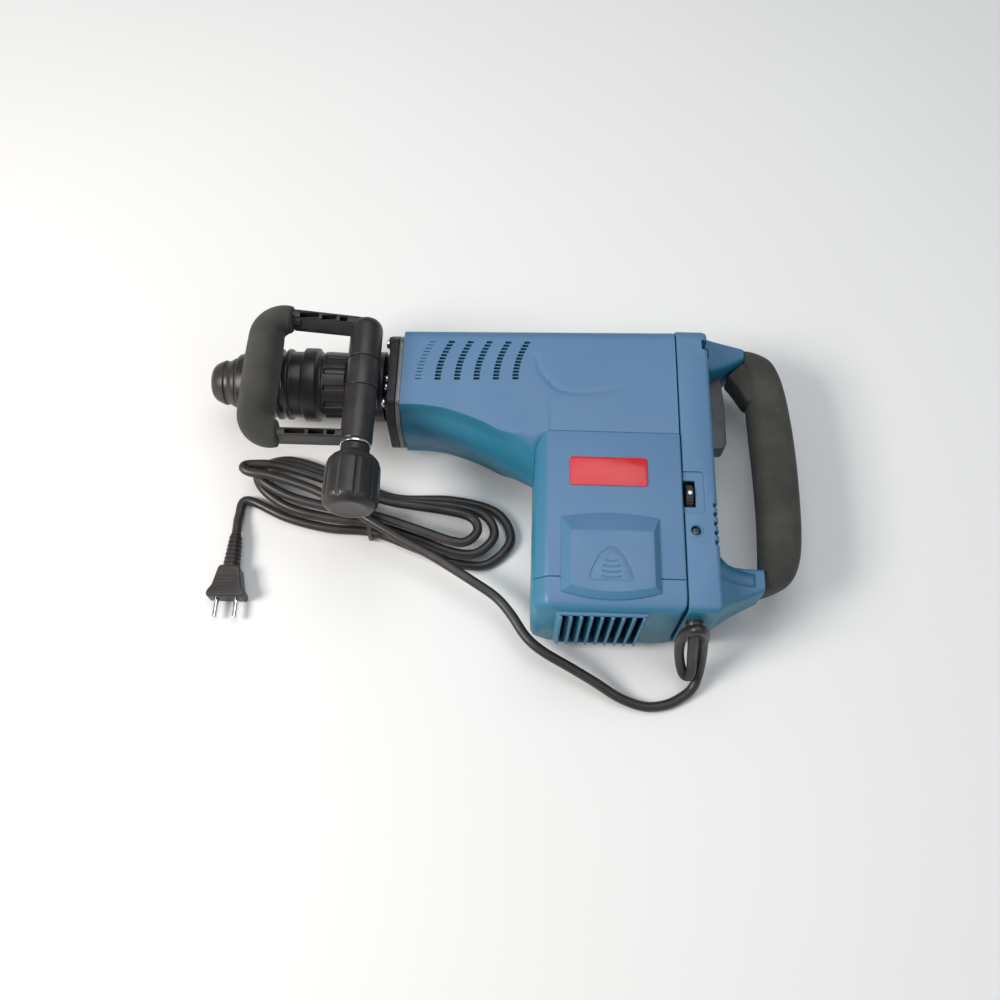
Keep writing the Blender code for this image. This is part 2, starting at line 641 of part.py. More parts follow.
def crank(pivot):
    """Crank gear on its shaft, with a disc and a short crank pin above it."""
    place = (CRANK_X, 0.0, 0.0)
    shaft = rod("crank_shaft", -66.8, -18.0, 9.0, "steel", "Y", place, pivot, chamfer=1.0)
    disc = rod("crank_disc", -30.0, -17.0, 30.0, None, "Y", place, pivot, steps=36, chamfer=1.5)
    pin = rod("crank_pin", -18.0, -7.0, 7.0, None, "Y", (CRANK_X - CRANK_THROW, 0.0, 0.0), pivot)
    join(shaft, disc, pin)
    gear = plate("crank_gear", [(CRANK_X + x, z) for x, z in gear_outline(GEAR_TEETH)],
                 -54.0, -44.0, "steel", "Y", pivot)
    bore = rod("crank_gear_bore", -60.0, -40.0, 9.0 + GAP, None, "Y", place, pivot)
    carve(gear, bore)
    ring("crank_bearing", -66.5, -60.5, 9.0 + GAP, 15.0, "steel", "Y", place)


# --- Motor ---------------------------------------------------------------------------------------


def armature(pivot):
    """Shaft with its pinion, laminated core, commutator and fan, all on the motor's axis."""
    place = (MOTOR_X, 0.0, 0.0)
    shaft = rod("armature_shaft", -211.0, -44.0, 5.5, "steel", "Y", place, pivot, chamfer=0.8)
    phase = math.pi + math.pi / PINION_TEETH
    teeth = [(MOTOR_X + x, z) for x, z in gear_outline(PINION_TEETH, phase)]
    pinion = plate("pinion", teeth, -56.0, -42.0, None, "Y", pivot)
    join(shaft, pinion)
    ring("armature_core", -165.0, -105.0, 5.5 + GAP, 24.0, "iron", "Y", place, pivot)
    ring("commutator", -206.0 + 2.0, -188.0, 5.5 + GAP, 16.0, "copper", "Y", place, pivot)
    fan(place, pivot)


def fan(place, pivot):
    hub = ring("fan", -98.0, -95.5, 5.5 + GAP, 40.0, "black", "Y", place, pivot, 36)
    sleeve = ring("fan_sleeve", -98.0, -80.0, 5.5 + GAP, 10.0, None, "Y", place, pivot)
    blades = []
    for i in range(9):
        blade = block(f"fan_blade_{i}", (MOTOR_X + 14.0, -96.5, -0.9),
                      (MOTOR_X + 39.0, -82.0, 0.9), None)
        turn = Matrix.Rotation(2 * math.pi * i / 9, 4, "Y")
        about = Matrix.Translation(Vector(place) * MM)
        blade.matrix_world = about @ turn @ about.inverted() @ Matrix.Translation(blade.location)
        blades.append(blade)
    join(hub, sleeve, *blades)


def motor_bearings():
    place = (MOTOR_X, 0.0, 0.0)
    ring("motor_bearing_top", -66.5, -60.5, 5.5 + GAP, 13.0, "steel", "Y", place)
    ring("motor_bearing_bottom", -213.0, -206.5, 5.5 + GAP, 11.0, "steel", "Y", place)


def stator():
    place = (MOTOR_X, 0.0, 0.0)
    ring("stator", -170.0, -100.0, 25.0, 45.0, "iron", "Y", place, steps=36)


def brush(side, pivot):
    word = "left" if side > 0 else "right"
    low, high = sorted((side * 16.6, side * 31.0))
    block(f"carbon_brush_{word}", (MOTOR_X - 4.0, BRUSH_Y - 6.0, low),
          (MOTOR_X + 4.0, BRUSH_Y + 6.0, high), "carbon", pivot)
    low, high = sorted((side * 20.0, side * 46.0))
    holder = block(f"brush_holder_{word}", (MOTOR_X - 7.0, BRUSH_Y - 9.0, low),
                   (MOTOR_X + 7.0, BRUSH_Y + 9.0, high), "copper")
    low, high = sorted((side * 15.0, side * 43.0))
    channel = block(f"brush_channel_{word}", (MOTOR_X - 4.3, BRUSH_Y - 6.3, low),
                    (MOTOR_X + 4.3, BRUSH_Y + 6.3, high), None)
    carve(holder, channel)


# --- Nose ----------------------------------------------------------------------------------------


def tool_holder(pivot):
    outer = [(-76.5, 14.5), (-74.5, 16.0), (-6.0, 16.0), (-6.0, 20.0), (-1.0, 20.0), (-1.0, 16.0),
             (58.0, 16.0)]
    inner = [(58.0, 14.0), (13.0, 14.0), (13.0, SHANK_BORE), (-76.5, SHANK_BORE)]
    turned("tool_holder", outer + inner, "steel", "X", pivot=pivot)
    cap = [(-82.0, 10.0), (-82.0, 14.0), (-80.0, 17.5), (-75.5, 20.5), (-68.0, 22.5),
           (-67.0, 21.5), (-60.0, 25.0), (-56.5, 25.5), (-56.5, 16.3), (-77.0, 16.3),
           (-77.0, 10.0)]
    turned("nose_cap", cap, "rubber", "X", pivot=pivot, steps=24)


def locking_sleeve(pivot):
    """Sleeve pulled back to release a chisel, ribbed for the fingers."""
    outer = [(-56.0, 27.0), (-54.0, 29.0), (-40.0, 32.0), (-30.0, 34.0), (-22.0, 35.0),
             (-19.5, 32.0), (-17.5, 32.0), (-15.0, 35.5), (-12.0, 35.5), (-9.5, 32.0),
             (-7.5, 32.0), (-5.0, 35.5), (-2.5, 35.5), (-0.5, 33.0), (16.0, 33.0)]
    inner = [(16.0, 20.6), (-20.0, 20.6), (-20.0, 17.0), (-56.0, 17.0)]
    turned("locking_sleeve", outer + inner, "black", "X", pivot=pivot, steps=24)


def sleeve_spring(pivot):
    points = helix((0.0, 0.0), 18.4, -18.6, -8.0, 3.5, "X", 12)
    tube_along("sleeve_spring", points, 0.9, "steel", pivot, 1)


def vario_ring(pivot):
    """Ring pulled back to turn the tool holder to another angle, fluted at the rear."""
    outer = [(10.5, 35.0), (12.0, 36.8), (24.5, 36.8), (26.0, 34.0), (29.5, 32.0), (31.0, 33.6),
             (53.0, 33.0), (55.0, 31.5)]
    inner = [(55.0, NECK_R + 0.5), (26.0, NECK_R + 0.5), (25.6, 33.7), (10.5, 33.7)]
    body = turned("vario_ring", outer + inner, "black", "X", pivot=pivot, steps=24)
    for i in range(12):
        angle = 2 * math.pi * (i + 0.33) / 12
        y, z = 35.0 * math.cos(angle), 35.0 * math.sin(angle)
        flute = rod(f"flute_{i}", 33.0, 58.0, 2.8, None, "X", (0.0, y, z), steps=6)
        carve(body, flute, solver="MANIFOLD")


def anvil(pivot):
    profile = [(0.0, 0.0), (0.0, 8.0), (0.8, 8.8), (21.0, 8.8), (22.0, 13.5), (38.0, 13.5),
               (41.0, 9.5), (61.0, 9.5), (62.0, 8.5), (62.0, 0.0)]
    turned("anvil", profile, "bright", "X", pivot=pivot)


# --- Side handle ---------------------------------------------------------------------------------


def clamp_band(pivot):
    """Band around the neck, with a lug that carries the handle's bolt."""
    band = ring("clamp_band", 64.0, 90.0, NECK_R + GAP, 35.0, "black", "X", pivot=pivot, steps=24)
    lug = block("band_lug", (64.5, LUG_LOW + 0.5, 20.0), (89.5, LUG_HIGH - 0.5, COLUMN_Z), None,
                pivot)
    barrel = rod("lug_barrel", LUG_LOW, LUG_HIGH, COLUMN_R, None, "Y",
                 (COLUMN_X, 0.0, COLUMN_Z), pivot)
    bolt_hole = rod("lug_bolt_hole", LUG_LOW - 5.0, LUG_HIGH + 5.0, BOLT_R + GAP, None, "Y",
                    (COLUMN_X, 0.0, COLUMN_Z), pivot)
    neck_room = rod("lug_neck_room", 60.0, 95.0, NECK_R + GAP, None, "X", pivot=pivot, steps=24)
    join(band, lug, barrel, solver="MANIFOLD")
    carve(band, bolt_hole, neck_room, solver="MANIFOLD")
    smooth(band)
    rod("clamp_bolt", -120.0, 27.0, BOLT_R, "steel", "Y", (COLUMN_X, 0.0, COLUMN_Z), pivot)


def knob_and_washer(washer_pivot, knob_pivot):
    place = (COLUMN_X, 0.0, COLUMN_Z)
    ring("knob_washer", -99.3, -97.0, BOLT_R + 0.5, 14.0, "bright", "Y", place, washer_pivot)
    profile = [(-162.0, 0.0), (-162.0, 18.0), (-157.0, KNOB_R - 1.5), (-150.0, KNOB_R),
               (-118.0, KNOB_R - 0.8), (-110.0, 19.0), (-107.5, 13.5), (-99.8, 13.5), (-99.8, 0.0)]
    knob = turned("clamp_knob", profile, "black", "Y", place, knob_pivot, steps=24)
    hole = rod("knob_hole", -125.0, -90.0, BOLT_R + GAP, None, "Y", place, knob_pivot)
    carve(knob, hole)
    for i in range(8):
        angle = 2 * math.pi * (i + 0.5) / 8
        reach = KNOB_R + 1.6
        at = (COLUMN_X + reach * math.cos(angle), 0.0, COLUMN_Z + reach * math.sin(angle))
        carve(knob, rod(f"knob_flute_{i}", -149.0, -100.0, 4.0, None, "Y", at, knob_pivot, 8))


def d_path(start, corner):
    """Centre line of the D grip, from the upper leg round to the lower one."""
    upper = round_corner((D_GRIP_X + corner, D_TOP - corner), corner, 90, 180, 5)
    lower = round_corner((D_GRIP_X + corner, D_BOTTOM + corner), corner, 180, 270, 5)
    side = [(D_GRIP_X, D_TOP - corner + (D_BOTTOM - D_TOP + 2 * corner) * share)
            for share in (0.25, 0.5, 0.75)]
    line = [(start, D_TOP), *upper, *side, *lower, (start, D_BOTTOM)]
    return [(x, y, COLUMN_Z - 1.0) for x, y in line]


def leg(name, sections, pivot):
    """One leg of the D handle: narrow on top, wider below, through (x, outer, inner, foot)."""
    rings = [[(x, outer, LEG_HIGH), (x, inner, LEG_HIGH), (x, foot, LEG_LOW), (x, outer, LEG_LOW)]
             for x, outer, inner, foot in sections]
    made = loft(name, rings, None)
    made.parent = pivot
    made.location -= pivot.location
    round_edges(made, 1.5, 1)
    return made


def d_handle(pivot):
    place = (COLUMN_X, 0.0, COLUMN_Z)
    top_start = LUG_HIGH + 0.4
    frame = turned("d_handle_frame",
                   [(top_start, 0.0), (top_start, COLUMN_R + 0.3), (28.0, COLUMN_R + 0.3),
                    (34.5, 11.5), (37.0, 5.0), (37.0, 0.0)], "black", "Y", place, pivot)
    sleeve = rod("lower_sleeve", -96.5, LUG_LOW - 0.4, COLUMN_R - 0.2, None, "Y", place, pivot)
    top = leg("upper_leg", [(6.0, 43.5, 35.5, 30.0), (COLUMN_X - 4.0, 36.5, 28.5, 24.0)], pivot)
    low = leg("lower_leg", [(6.0, -93.3, -85.0, -79.5), (COLUMN_X - 4.0, -93.3, -85.0, -79.5)],
              pivot)
    bar = tube_along("d_bar", d_path(12.0, 20.0), 6.0, None, pivot, 1)
    hole = rod("frame_bolt_hole", -110.0, 28.0, BOLT_R + GAP, None, "Y", place, pivot)
    join(frame, top, low, bar, sleeve)
    carve(frame, hole)
    for i, x in enumerate((13.0, 33.0, 50.0)):
        for word, y in (("upper", 38.6 - 0.1 * x), ("lower", -89.0)):
            window = block(f"{word}_window_{i}", (x, y - 2.0, 64.0), (x + 13.0, y + 2.0, 80.0), None,
                           pivot)
            carve(frame, window)
    path = d_path(4.0, 20.0)
    swell = [math.sin(math.pi * i / (len(path) - 1)) ** 0.6 for i in range(len(path))]
    radii = [11.4 + 6.0 * share for share in swell]
    grip = tube_along("d_grip", path, radii, "foam", pivot, 3)
    tunnel = tube_along("d_grip_tunnel", d_path(9.0, 20.0), 6.3, None, pivot, 1)
    carve(grip, tunnel)
    smooth(grip)


# --- Controls ------------------------------------------------------------------------------------


def trigger(pivot):
    x, y = TRIGGER_PIVOT
    outline = [(x - 4.0, y + 6.0), (x + 8.0, y + 9.5), (x + 20.0, y + 9.5), (x + 23.5, y + 6.0),
               (x + 24.5, y - 65.0), (x + 21.5, y - 71.0), (x + 1.0, y - 74.0), (x - 4.0, y - 6.0)]
    paddle = plate("trigger", outline, -10.0, 10.0, "black", "Z", pivot)
    round_edges(paddle, 1.5, 1)
    points = helix((y - 50.0, 0.0), 4.0, 393.2, 401.0 - 1.9, 3.5, "X")
    tube_along("trigger_spring", points, 0.6, "steel", None, 0)
    block("switch_module", (377.5, -64.0, -13.0), (392.0, -8.0, 13.0), "black", bevel=1.5)


def speed_dial(pivot):
    dial = rod("speed_dial", -3.4, 3.4, DIAL_R, "black", "X", DIAL_CENTRE, pivot, 24, 1.0)
    for i in range(6):
        angle = 2 * math.pi * i / 6
        x, y, z = DIAL_CENTRE
        at = (x, y + (DIAL_R + 0.6) * math.cos(angle), z + (DIAL_R + 0.6) * math.sin(angle))
        carve(dial, rod(f"dial_notch_{i}", -8.0, 8.0, 1.4, None, "X", at, pivot, 6))
    block("speed_board", (377.0, -156.0, 18.0), (394.0, -108.0, 20.0), "board")


def handle_screw():
    profile = [(36.0, 0.0), (36.0, 1.8), (45.0, 1.8), (45.0, 3.6), (48.2, 3.6), (48.2, 0.0)]
    screw = turned("handle_screw", profile, "steel", "Z", (384.5, -167.0, 0.0), steps=12)
    carve(screw, rod("screw_socket", 46.6, 50.0, 1.7, None, "Z", (384.5, -167.0, 0.0), steps=6))


# --- Cord ----------------------------------------------------------------------------------------


def coil_points():
    """The loops of the resting coil, from its left end along the bottom and back over the top."""
    start, end = (Vector(place) for place in COIL_MIDDLE)
    run = end - start
    made = []
    for turn in range(COIL_TURNS):
        for i, place in enumerate(COIL_LOOP):
            here = Vector(place)
            share = min(1.0, max(0.0, (here - start).dot(run) / run.length_squared))
            here = here.lerp(start + run * share, TURN_SHRINK * turn)
            climb = max(0.0, (i - 11.0) / 3.0)
            made.append((here.x, here.y, CORD_FLOOR + TURN_RISE * (turn + climb)))
    return made


def smooth_path(points, steps=4):
    """A curve through the points (Catmull-Rom)."""
    made = []
    vectors = [Vector(p) for p in points]
    for i in range(len(vectors) - 1):
        p0 = vectors[max(i - 1, 0)]
        p1, p2 = vectors[i], vectors[i + 1]
        p3 = vectors[min(i + 2, len(vectors) - 1)]
        for step in range(steps):
            t = step / steps
            made.append(0.5 * ((2 * p1) + (p2 - p0) * t + (2 * p0 - 5 * p1 + 4 * p2 - p3) * t**2 +
                               (3 * p1 - p0 - 3 * p2 + p3) * t**3))
    made.append(vectors[-1])
    return made


def cord_points():
    x, y, z = PLUG
    floor = CORD_FLOOR
    tail = [(x, y + 45.0, z), (x - 0.3, y + 56.0, z - 1.0), (x - 1.0, y + 72.0, floor + 1.0),
            (x + 5.0, y + 90.0, floor)]
    coil = coil_points()
    high = floor + TURN_RISE * COIL_TURNS
    tip = [(-41.0, -77.5, high - 4.0), (-47.5, -82.5, high - 1.0), (-40.0, -88.0, high)]
    away = [(-19.0, -91.0, high), (10.0, -99.5, high), (36.0, -110.0, high), (84.0, -136.5, high),
            (118.0, -156.0, high - 1.0), (148.0, -171.5, high - 2.0), (187.0, -195.0, -26.0),
            (208.0, -209.0, -27.0), (222.0, -224.5, -27.5), (234.5, -243.0, -28.0),
            (244.5, -253.5, -28.0), (258.0, -262.5, -29.0), (276.0, -271.5, -32.0),
            (301.0, -283.5, -40.0), (325.0, -296.0, -47.5), (348.0, -302.5, floor),
            (367.0, -300.5, floor), (382.5, -293.0, floor), (393.0, -284.0, -48.0),
            (397.5, -271.5, -38.0), (397.5, -261.0, -20.0), (395.5, -254.0, 0.0),
            (394.5, -252.0, 14.0), (391.0, -252.0, 25.0), (385.0, -252.0, 30.5),
            (379.0, -252.0, 25.0), (375.5, -252.0, 14.0), (375.0, -254.0, 0.0),
            (376.0, -260.0, -15.0), (379.0, -268.0, -28.0), (383.0, -275.0, -36.0),
            (387.5, -276.5, -34.5), (388.5, -272.0, -26.0), (387.0, -264.0, -12.0),
            (385.5, -256.5, 4.0)]
    gx, gy, gz = GROMMET
    last = [(gx, gy - 8.0, gz - 1.0), (gx, gy - 3.0, gz), (gx, gy + 8.0, gz)]
    return smooth_path(tail + coil[1:-1] + tip + away, 2) + last


def power_cord():
    tube_along("power_cord", cord_points(), CORD_R, "rubber")
    gx, gy, gz = GROMMET
    profile = [(-5.0, CORD_R + 0.9), (-5.0, 7.0), (-3.0, 8.0), (5.8, 8.0), (5.8, CORD_R + 0.9)]
    turned("cord_grommet", profile, "rubber", "Y", (gx, gy, gz), steps=16)


def plug():
    """Two-pin moulded plug with a tapered strain relief."""
    x, y, z = PLUG
    half = [(18.5, -16.0), (18.5, -10.5), (14.5, -5.0), (10.5, 14.0), (8.0, 16.0)]
    outline = [(x + a, y + b) for a, b in half] + [(x - a, y + b) for a, b in reversed(half)]
    body = plate("plug_body", outline, z - 9.0, z + 9.0, "rubber")
    round_edges(body, 3.0, 2)
    relief = turned("strain_relief", [(12.0, 0.0), (12.0, 8.5), (50.0, 5.6), (50.0, 0.0)], None,
                    "Y", (x, y, z), steps=16)
    channel = rod("cord_channel", 42.0, 60.0, CORD_R + 0.4, None, "Y", (x, y, z), steps=16)
    join(body, relief, solver="MANIFOLD")
    carve(body, channel, solver="MANIFOLD")
    for i, side in enumerate((-1, 1), 1):
        at = (x + side * PIN_SPACING / 2, y, z)
        seat = rod(f"pin_seat_{i}", -30.0, -10.0, 2.4 + GAP, None, "Y", at, steps=12)
        carve(body, seat, solver="MANIFOLD")
        rod(f"plug_pin_{i}", -35.0, -10.5, 2.4, "bright", "Y", at, steps=12, chamfer=0.8)


# --- Assembly ------------------------------------------------------------------------------------


def casings():
    for side in (1, -1):
        main_shell(side)
        handle_shell(side)
        brush_cap(side)
    motor_housing()
    end_cover()
    badge()
    rear_grip()
    front_cover()
    flange_bolts()
    gear_housing()


def drive():
    motor_bearings()
    stator()
    armature(pivot_at("motor_axis", (MOTOR_X, 0.0, 0.0)))
    crank(pivot_at("crank_axis", (CRANK_X, 0.0, 0.0)))
    piston_pivot = pivot_at("piston_slide", (WRIST_X, 0.0, 0.0))
    cylinder_and_piston(piston_pivot)
    connecting_rod(pivot_at("wrist_axis", (WRIST_X, 0.0, 0.0)))
    striker(pivot_at("striker_slide", (66.0, 0.0, 0.0)))
    brush(1, pivot_at("brush_slide_left", (MOTOR_X, BRUSH_Y, 16.6)))
    brush(-1, pivot_at("brush_slide_right", (MOTOR_X, BRUSH_Y, -16.6)))


def nose():
    holder_axis = pivot_at("holder_axis", (0.0, 0.0, 0.0))
    tool_holder(holder_axis)
    locking_sleeve(pivot_at("sleeve_slide", (0.0, 0.0, 0.0)))
    sleeve_spring(holder_axis)
    vario_ring(pivot_at("vario_slide", (0.0, 0.0, 0.0)))
    anvil(pivot_at("anvil_slide", (0.0, 0.0, 0.0)))


def side_handle():
    clamp_band(pivot_at("clamp_axis", (0.0, 0.0, 0.0)))
    column = (COLUMN_X, 0.0, COLUMN_Z)
    knob_and_washer(pivot_at("washer_slide", column), pivot_at("knob_axis", column))
    d_handle(pivot_at("column_axis", column))


def controls():
    trigger(pivot_at("trigger_axis", (*TRIGGER_PIVOT, 0.0)))
    speed_dial(pivot_at("dial_axis", DIAL_CENTRE))
    handle_screw()


clear_scene()
parts = new_collection(OBJECT_NAME, False)
helpers = new_collection("cutters", True)
casings()
drive()
nose()
side_handle()
controls()
power_cord()
plug()
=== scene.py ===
"""Looks of the demolition hammer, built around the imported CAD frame."""
import json
import math
import bmesh
import bpy
from mathutils import Matrix, Vector


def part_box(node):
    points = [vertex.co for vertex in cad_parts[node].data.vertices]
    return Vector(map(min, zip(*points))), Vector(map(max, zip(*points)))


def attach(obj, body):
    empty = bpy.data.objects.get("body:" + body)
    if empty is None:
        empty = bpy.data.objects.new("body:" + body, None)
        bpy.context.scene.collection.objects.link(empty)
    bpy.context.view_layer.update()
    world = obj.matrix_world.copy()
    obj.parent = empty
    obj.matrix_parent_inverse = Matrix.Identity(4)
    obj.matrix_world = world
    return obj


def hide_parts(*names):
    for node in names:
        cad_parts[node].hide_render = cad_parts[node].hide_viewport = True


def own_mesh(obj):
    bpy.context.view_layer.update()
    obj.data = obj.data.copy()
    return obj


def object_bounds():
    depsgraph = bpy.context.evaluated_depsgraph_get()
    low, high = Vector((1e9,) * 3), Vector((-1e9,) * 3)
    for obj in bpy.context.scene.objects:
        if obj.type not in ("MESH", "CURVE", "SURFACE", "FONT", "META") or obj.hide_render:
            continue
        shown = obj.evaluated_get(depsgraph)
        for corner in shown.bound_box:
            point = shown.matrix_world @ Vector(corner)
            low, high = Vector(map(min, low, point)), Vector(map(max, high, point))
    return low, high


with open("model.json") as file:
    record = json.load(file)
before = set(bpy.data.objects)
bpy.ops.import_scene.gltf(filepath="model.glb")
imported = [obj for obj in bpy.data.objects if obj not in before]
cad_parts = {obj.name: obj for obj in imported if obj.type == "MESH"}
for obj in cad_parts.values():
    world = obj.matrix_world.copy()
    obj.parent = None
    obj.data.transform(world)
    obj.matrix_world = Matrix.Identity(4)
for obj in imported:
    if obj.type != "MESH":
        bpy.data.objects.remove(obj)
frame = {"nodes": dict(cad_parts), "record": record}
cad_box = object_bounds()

MM = 0.001
scene = bpy.context.scene


# --- Places taken from the frame ---


def box(node):
    """Lowest and highest corner of a CAD node in millimetres."""
    low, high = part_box(node)
    return low / MM, high / MM


shell_low, shell_high = box("main_shell_left")
motor_low, motor_high = box("motor_housing")
end_low = box("motor_end_cover")[0]
rear_low, rear_high = box("handle_shell_left")
cap_low, cap_high = box("brush_cap_left")
label_low, label_high = box("badge")
screw_low, screw_high = box("handle_screw")
dial_low, dial_high = box("speed_dial")
cover_high = box("front_cover")[1]
nose_low, nose_high = box("nose_cap")
sleeve_low, sleeve_high = box("locking_sleeve")
vario_low, vario_high = box("vario_ring")
band_low, band_high = box("clamp_band")
knob_low, knob_high = box("clamp_knob")
washer_low, washer_high = box("knob_washer")
bolt_low, bolt_high = box("clamp_bolt")
grommet_low, grommet_high = box("cord_grommet")
plug_low, plug_high = box("plug_body")
cord_low = box("power_cord")[0]
COLUMN_X = (bolt_low.x + bolt_high.x) / 2
COLUMN_Z = (bolt_low.z + bolt_high.z) / 2
COLUMN = (COLUMN_X, 0.0, COLUMN_Z)


# --- Mesh helpers ---


def to_object(name, bm):
    bmesh.ops.recalc_face_normals(bm, faces=bm.faces)
    mesh = bpy.data.meshes.new(name)
    bm.to_mesh(mesh)
    bm.free()
    made = bpy.data.objects.new(name, mesh)
    scene.collection.objects.link(made)
    return made


def shade(obj, degrees=32):
    mesh = obj.data
    for face in mesh.polygons:
        face.use_smooth = True
    mesh.set_sharp_from_angle(angle=math.radians(degrees))
    return obj


def bake(obj):
    """Applies an object's modifiers to its mesh."""
    graph = bpy.context.evaluated_depsgraph_get()
    mesh = bpy.data.meshes.new_from_object(obj.evaluated_get(graph))
    obj.modifiers.clear()
    obj.data = mesh
    return obj


def tidy_mesh(obj):
    """Removes the tiny edges that a Boolean leaves."""
    bm = bmesh.new()
    bm.from_mesh(obj.data)
    bmesh.ops.remove_doubles(bm, verts=bm.verts, dist=0.00001)
    bmesh.ops.dissolve_degenerate(bm, edges=bm.edges, dist=0.00001)
    bm.to_mesh(obj.data)
    bm.free()


def combine(obj, operation, others):
    for other in others:
        before = obj.data.copy()
        for solver in ("EXACT", "MANIFOLD"):
            obj.data = before.copy()
            modifier = obj.modifiers.new("boolean", "BOOLEAN")
            modifier.object = other
            modifier.operation = operation
            modifier.solver = solver
            bake(obj)
            if len(obj.data.polygons) > len(before.polygons) // 4:
                break
        tidy_mesh(obj)
    for other in others:
        bpy.data.objects.remove(other)
    return obj


def cut(obj, *others):
    return combine(obj, "DIFFERENCE", others)


def join(obj, *others):
    return combine(obj, "UNION", others)


def span(side, first, second):
    """Lowest and highest z of a stretch on the left (side 1) or right (side -1)."""
    return sorted((first * side, second * side))


def arc(centre, radius, start, end, count=6):
    made = []
    for i in range(count + 1):
        angle = math.radians(start + (end - start) * i / count)
        made.append((centre[0] + radius * math.cos(angle), centre[1] + radius * math.sin(angle)))
    return made


def smooth_line(points, steps=5, closed=False):
    """A curve through points of any dimension (Catmull-Rom)."""
    vectors = [Vector(p) for p in points]
    count = len(vectors)
    made = []
    for i in range(count if closed else count - 1):
        if closed:
            p0, p1, p2, p3 = (vectors[(i + k) % count] for k in (-1, 0, 1, 2))
        else:
            p0, p1 = vectors[max(i - 1, 0)], vectors[i]
            p2, p3 = vectors[i + 1], vectors[min(i + 2, count - 1)]
        for step in range(steps):
            t = step / steps
            made.append(0.5 * ((2 * p1) + (p2 - p0) * t + (2 * p0 - 5 * p1 + 4 * p2 - p3) * t**2 +
                               (3 * p1 - p0 - 3 * p2 + p3) * t**3))
    if not closed:
        made.append(vectors[-1])
    return made


def fillet(outline, radii, count=4, closed=True):
    """Rounds the corners of an outline. radii is one number or one for each corner."""
    total = len(outline)
    if not isinstance(radii, (list, tuple)):
        radii = [radii] * total
    made = []
    for i, here in enumerate(outline):
        here = Vector(here)
        if not closed and i in (0, total - 1) or radii[i] <= 0:
            made.append(tuple(here))
            continue
        before = Vector(outline[i - 1]) - here
        after = Vector(outline[(i + 1) % total]) - here
        reach = min(radii[i], before.length * 0.48, after.length * 0.48)
        first = here + before.normalized() * reach
        last = here + after.normalized() * reach
        for step in range(count + 1):
            t = step / count
            made.append(tuple(first * (1 - t)**2 + here * 2 * t * (1 - t) + last * t**2))
    return made


PLACERS = {"Z": lambda u, v, w: (u, v, w), "X": lambda u, v, w: (w, u, v),
           "Y": lambda u, v, w: (u, w, v)}


def prism(name, outline, low, high, axis="Z", edge=0.0, segments=3, degrees=40):
    """An outline given thickness along an axis, with rounded edges."""
    place = PLACERS[axis]
    bm = bmesh.new()
    lows = [bm.verts.new(Vector(place(u, v, low)) * MM) for u, v in outline]
    highs = [bm.verts.new(Vector(place(u, v, high)) * MM) for u, v in outline]
    bm.faces.new(lows)
    bm.faces.new(highs)
    for i in range(len(outline)):
        after = (i + 1) % len(outline)
        bm.faces.new((lows[i], lows[after], highs[after], highs[i]))
    bmesh.ops.recalc_face_normals(bm, faces=bm.faces)
    if edge > 0:
        sharp = [e for e in bm.edges if e.calc_face_angle(0.0) > math.radians(degrees)]
        bmesh.ops.bevel(bm, geom=sharp, offset=edge * MM, offset_type="OFFSET", segments=segments,
                        profile=0.5, affect="EDGES", clamp_overlap=True)
    return to_object(name, bm)


def rectangle(x0, y0, x1, y1):
    return [(x0, y0), (x1, y0), (x1, y1), (x0, y1)]


def brick(name, low, high, edge=0.0, segments=3):
    return prism(name, rectangle(*low[:2], *high[:2]), low[2], high[2], "Z", edge, segments)


def skin(name, rings, cap_first=True, cap_last=True, wrap=True):
    """A surface through rings with the same number of points."""
    bm = bmesh.new()
    made = [[bm.verts.new(Vector(point) * MM) for point in ring] for ring in rings]
    for first, second in zip(made, made[1:]):
        count = len(first)
        for i in range(count if wrap else count - 1):
            after = (i + 1) % count
            bm.faces.new((first[i], first[after], second[after], second[i]))
    if cap_first:
        bm.faces.new(made[0])
    if cap_last:
        bm.faces.new(made[-1])
    bmesh.ops.remove_doubles(bm, verts=bm.verts, dist=0.000005)
    return to_object(name, bm)


TURNS = {"X": lambda a, c, s: (a, c, s), "Y": lambda a, c, s: (c, a, s),
         "Z": lambda a, c, s: (c, s, a)}


def lathe(name, profile, axis="X", place=(0, 0, 0), steps=72, shape=None, closed=True):
    """A turned body. The profile is (along, radius); shape(along, radius, angle) may change it."""
    turn = TURNS[axis]
    offset = Vector(place)
    bm = bmesh.new()
    rings = []
    for along, radius in profile:
        if radius < 0.01:
            rings.append([bm.verts.new((Vector(turn(along, 0, 0)) + offset) * MM)])
            continue
        ring = []
        for i in range(steps):
            angle = 2 * math.pi * i / steps
            r = shape(along, radius, angle) if shape else radius
            point = Vector(turn(along, r * math.cos(angle), r * math.sin(angle)))
            ring.append(bm.verts.new((point + offset) * MM))
        rings.append(ring)
    pairs = list(zip(rings, rings[1:]))
    if closed and len(rings[0]) > 1 and len(rings[-1]) > 1:
        pairs.append((rings[-1], rings[0]))
    for first, second in pairs:
        for i in range(steps):
            after = (i + 1) % steps
            corners = [first[i % len(first)], first[after % len(first)],
                       second[after % len(second)], second[i % len(second)]]
            unique = list(dict.fromkeys(corners))
            if len(unique) > 2:
                bm.faces.new(unique)
    return to_object(name, bm)


def rod(low, high, radius, axis="X", place=(0, 0, 0), steps=72):
    """A plain round cutter."""
    profile = [(low, 0.0), (low, radius), (high, radius), (high, 0.0)]
    return lathe("rod", profile, axis, place, steps)


